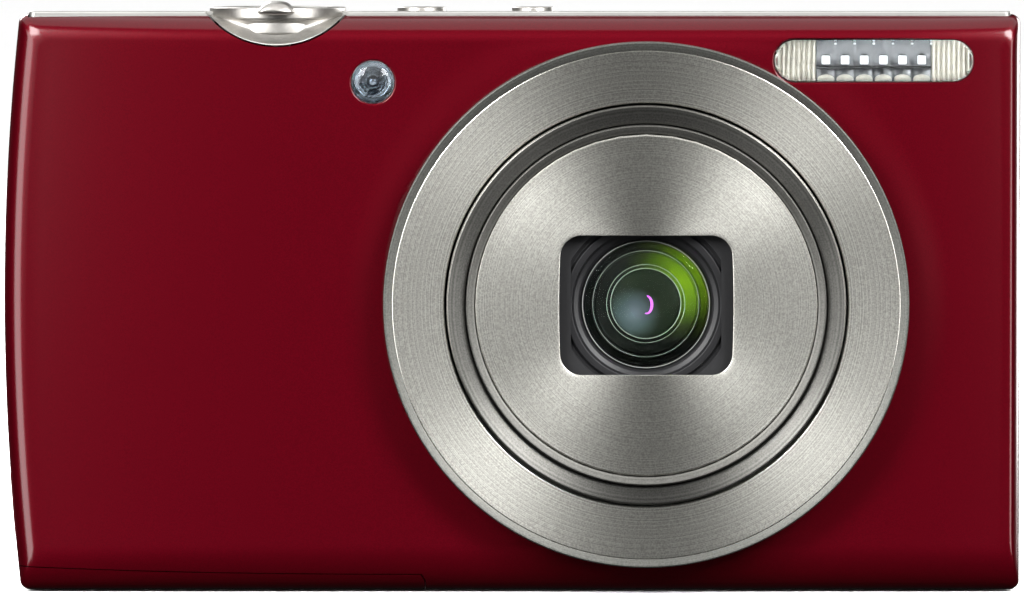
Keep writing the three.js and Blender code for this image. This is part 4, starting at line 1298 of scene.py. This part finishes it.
def fluted_panel(name, edges, bulge, front):
    """A panel across part of the window, dished from top to bottom and bulging in flutes."""
    half = FLASH_HALF.x
    high = FLASH_HALF.z
    columns = []
    steps = 8
    for left, right in zip(edges, edges[1:]):
        for k in range(steps):
            t = k / steps
            columns.append((left + (right - left) * t, bulge * math.sin(math.pi * t)))
    columns.append((edges[-1], 0.0))
    rows = 15
    faces = []
    points = []
    for a, out in columns:
        over = abs(a) - (half - high)
        reach = math.sqrt(max(0.02, high * high - max(0.0, over) ** 2)) - 0.03
        for j in range(rows):
            b = -reach + 2 * reach * j / (rows - 1)
            dish = 0.5 * (1 - (b / high) ** 2)
            points.append((FLASH.x + a, front + dish - out, FLASH.z + b))
    offset = len(points)
    points += [(x, -4.9, z) for x, y, z in points]
    last = len(columns) - 1
    for i in range(last):
        for j in range(rows - 1):
            a = i * rows + j
            faces.append((a, a + rows, a + rows + 1, a + 1))
            faces.append((offset + a, offset + a + 1, offset + a + rows + 1, offset + a + rows))
        for j in (0, rows - 1):
            a = i * rows + j
            quad = (a, offset + a, offset + a + rows, a + rows)
            faces.append(quad if j == 0 else tuple(reversed(quad)))
    for i in (0, last):
        for j in range(rows - 1):
            a = i * rows + j
            quad = (a, a + 1, offset + a + 1, offset + a)
            faces.append(quad if i == 0 else tuple(reversed(quad)))
    return make_object(name, points, faces, sharp=40)


def build_lamp():
    radius = LAMP_RADIUS
    steps = 12
    low, high = box("af_lamp_lens")
    rim = FRONT + 0.02
    dome = [(0, high.y), (radius, high.y), (radius, rim)]
    for k in range(1, steps):
        angle = math.pi / 2 * k / steps
        dome.append((radius * math.cos(angle), rim + (low.y - rim) * math.sin(angle)))
    dome.append((0, low.y))
    glass = Paint("lamp_clear", (0.95, 0.98, 1.0), 0.02, Transmission_Weight=1.0, IOR=1.3)
    glass.rough(glass.span(glass.noise(300.0), 0.01, 0.04))
    lens = turned("lamp_dome", LAMP, dome, 96, sharp=40)
    finish_piece(lens, "case", glass.material, "clear_plastic", "af_lamp_lens")
    cup = [
        (radius - 0.02, -6.3),
        (1.75, -6.2),
        (1.6, -5.9),
        (1.3, -5.7),
        (1.1, -5.8),
        (0.95, -5.5),
        (0.55, -5.2),
        (0.3, -5.6),
        (0, -5.7),
        (0, -3.4),
        (radius - 0.02, -3.4),
    ]
    paint = satin("lamp_cup", (0.10, 0.115, 0.13), 0.25, 1.0, relief=0.0)
    cup_object = turned("lamp_cup", LAMP, soften(cup, 0.08), 96, sharp=40)
    finish_piece(cup_object, "case", paint, "clear_plastic", "af_lamp_led")


# ---------------------------------------------------------------- rear controls and screen


def build_screen():
    low, high = box("screen_window")
    centre, halves = outline_of("screen_window")
    glass = slab("screen_glass", centre, halves, 1.4, low.y, high.y, 0.2)
    paint = Paint("screen_black", (0.004, 0.004, 0.005), 0.05, Coat_Weight=1.0, Coat_Roughness=0.01)
    paint.rough(paint.span(paint.noise(80.0), 0.03, 0.07))
    finish_piece(glass, "case", paint.material, "glass", "screen_window")
    area = (halves[0] - 2.6, halves[1] - 2.4)
    display = slab("screen_area", centre, area, 0.2, high.y - 0.2, high.y + 0.012, 0.0)
    tone = (0.02, 0.022, 0.026)
    grey = Paint("screen_grey", tone, 0.08, Coat_Weight=1.0, Coat_Roughness=0.01)
    mottled(grey, tone, 0.1, 60.0)
    finish_piece(display, "case", grey.material, "glass")


def build_rear_controls():
    for node in REAR_BUTTONS:
        low, high = box(node)
        radius = (high.x - low.x) / 2 - 0.6
        profile = [
            (0, low.y),
            (radius + 0.6, low.y),
            (radius + 0.6, low.y + 0.4),
            (radius, low.y + 0.4),
            (radius, high.y - 0.02),
            (radius * 0.75, high.y),
            (0, high.y - 0.1),
        ]
        cap = turned(node + "_cap", middle(node), soften(profile, 0.18), 64)
        finish_piece(cap, node, BUTTON_METAL, "satin_silver", node)
    low, high = box("set_button")
    foot_radius = 4.6
    radius = 3.8
    profile = [
        (0, low.y),
        (foot_radius, low.y),
        (foot_radius, low.y + 0.3),
        (radius, low.y + 0.3),
        (radius, high.y - 0.05),
        (radius - 0.8, high.y),
        (0, high.y - 0.1),
    ]
    cap = turned("set_cap", middle("set_button"), soften(profile, 0.25), 96)
    finish_piece(cap, "set_button", BUTTON_METAL, "satin_silver", "set_button")
    low, high = box("four_way_pad")
    skirt_radius = 9.6
    inner = 4.0
    profile = [
        (inner, low.y),
        (skirt_radius, low.y),
        (skirt_radius, low.y + 0.35),
        (PAD_RADIUS, low.y + 0.35),
        (PAD_RADIUS, high.y - 0.25),
        (PAD_RADIUS - 0.5, high.y),
        (inner + 0.4, high.y - 0.3),
        (inner, high.y - 0.4),
    ]
    ring = turned("pad_ring", PAD, soften(profile, 0.2), 128)
    finish_piece(ring, "four_way_pad", BUTTON_METAL, "satin_silver", "four_way_pad")


# ---------------------------------------------------------------- pieces kept from the frame


def keep_the_rest():
    """Shows the other CAD nodes as they are, each with its own material."""
    kept = {
        "lens_housing": BLACK_MATT,
        "cam_ring": BLACK_SATIN,
        "drive_gear": GREY,
        "zoom_motor": STEEL,
        "focus_group": BLACK_MATT,
        "image_sensor": CIRCUIT,
        "flash_capacitor": BLACK_SATIN,
        "screen_panel": STEEL,
        "pad_pivot": BLACK_SATIN,
        "key_board": CIRCUIT,
        "chassis": STEEL,
        "main_board": CIRCUIT,
        "battery": GREY,
        "memory_card": BLACK_SATIN,
        "battery_box": BLACK_MATT,
        "battery_latch": GREY,
        "speaker": BLACK_MATT,
        "door_pin": STEEL,
        "door_bracket": RED,
        "tripod_bush": STEEL,
        "terminal_cover": RED,
        "supply_cover": RED,
        "data_socket": STEEL,
        "strap_bar": STEEL,
        "bottom_screw_left": STEEL,
        "bottom_screw_right": STEEL,
        "side_screw_lower": STEEL,
        "side_screw_upper": STEEL,
    }
    for node, paint in kept.items():
        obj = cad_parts[node]
        obj.data.materials.clear()
        obj.data.materials.append(paint)


# ---------------------------------------------------------------- stage, lights and camera


def build_stage():
    mesh = bpy.data.meshes.new("floor")
    reach = 6.0
    corners = [(-reach, -reach, 0), (reach, -reach, 0), (reach, reach, 0), (-reach, reach, 0)]
    mesh.from_pydata(corners, [], [(0, 1, 2, 3)])
    floor = bpy.data.objects.new("floor", mesh)
    bpy.context.scene.collection.objects.link(floor)
    floor.location.z = -0.0002
    paint = Paint("floor_white", (0.86, 0.86, 0.86), 0.7)
    mottled(paint, (0.86, 0.86, 0.86), 0.01, 3.0)
    mesh.materials.append(paint.material)
    floor.visible_glossy = False
    floor.visible_diffuse = False
    only_floor = bpy.data.collections.new("lit_floor")
    only_floor.objects.link(floor)
    data = bpy.data.lights.new("floor_light", "SUN")
    data.energy = 3.9
    data.angle = math.radians(70)
    sun = bpy.data.objects.new("floor_light", data)
    bpy.context.scene.collection.objects.link(sun)
    sun.light_linking.receiver_collection = only_floor


def softbox(name, place, target, size, power):
    data = bpy.data.lights.new(name, "AREA")
    data.shape = "RECTANGLE"
    data.size = size[0]
    data.size_y = size[1]
    data.energy = power
    light = bpy.data.objects.new(name, data)
    bpy.context.scene.collection.objects.link(light)
    light.location = place
    way = Vector(target) - Vector(place)
    light.rotation_euler = way.to_track_quat("-Z", "Y").to_euler()
    light.visible_camera = False


def build_lights():
    left_edge = (-0.02, 0.0, 0.03)
    middle_of_body = (0.0, 0.0, 0.03)
    softbox("softbox_left_high", (-0.31, -0.46, 0.31), left_edge, (0.26, 0.26), 4.8)
    softbox("softbox_left", (-0.42, -0.36, 0.04), left_edge, (0.28, 0.34), 2.0)
    softbox("softbox_right_high", (0.36, -0.52, 0.36), middle_of_body, (0.28, 0.28), 6.6)
    softbox("softbox_right", (0.52, -0.46, 0.04), middle_of_body, (0.28, 0.34), 2.0)
    softbox("card_left", (-0.40, -0.92, 0.20), left_edge, (0.34, 0.4), 0.50)
    softbox("card_right", (0.38, -0.92, 0.20), middle_of_body, (0.26, 0.4), 0.22)
    softbox("softbox_top", (0.0, 0.0, 0.6), middle_of_body, (1.6, 0.7), 5.0)
    softbox("softbox_back_left", (-0.40, 0.80, 0.50), middle_of_body, (0.6, 0.4), 9.0)
    softbox("softbox_back_right", (0.60, 0.70, 0.20), middle_of_body, (0.4, 0.5), 5.0)
    world = bpy.data.worlds.new("studio")
    bpy.context.scene.world = world
    world.use_nodes = True
    nodes = world.node_tree.nodes
    links = world.node_tree.links
    nodes.clear()
    seen = nodes.new("ShaderNodeBackground")
    seen.inputs["Color"].default_value = (1, 1, 1, 1)
    seen.inputs["Strength"].default_value = 1.0
    fill = nodes.new("ShaderNodeBackground")
    fill.inputs["Color"].default_value = (1, 1, 1, 1)
    fill.inputs["Strength"].default_value = 0.012
    ray = nodes.new("ShaderNodeLightPath")
    mix = nodes.new("ShaderNodeMixShader")
    output = nodes.new("ShaderNodeOutputWorld")
    links.new(ray.outputs["Is Camera Ray"], mix.inputs["Fac"])
    links.new(fill.outputs[0], mix.inputs[1])
    links.new(seen.outputs[0], mix.inputs[2])
    links.new(mix.outputs[0], output.inputs["Surface"])


def build_camera():
    data = bpy.data.cameras.new("camera")
    data.lens = 320
    data.sensor_width = 36
    camera = bpy.data.objects.new("camera", data)
    bpy.context.scene.collection.objects.link(camera)
    frame_width = 95.7 * MM
    distance = frame_width * data.lens / data.sensor_width
    elevation = math.radians(2.7)
    aim = Vector((0.0, FRONT * MM, 27.52 * MM))
    back = Vector((0, -math.cos(elevation), math.sin(elevation)))
    camera.location = aim + back * distance
    camera.rotation_mode = "QUATERNION"
    camera.rotation_quaternion = (-back).to_track_quat("-Z", "Y")
    data.clip_start = 0.01
    data.clip_end = 50
    bpy.context.scene.camera = camera
    bpy.context.scene.view_settings.view_transform = "Standard"


build_stage()
build_lights()
build_camera()
build_front_cover()
build_rear_cover()
build_top_strip()
build_shutter_trim()
build_zoom_lever()
build_top_buttons()
build_lens_ring()
build_barrels()
build_front_plate()
build_optics()
build_barrier()
build_flash()
build_lamp()
build_screen()
build_rear_controls()
keep_the_rest()
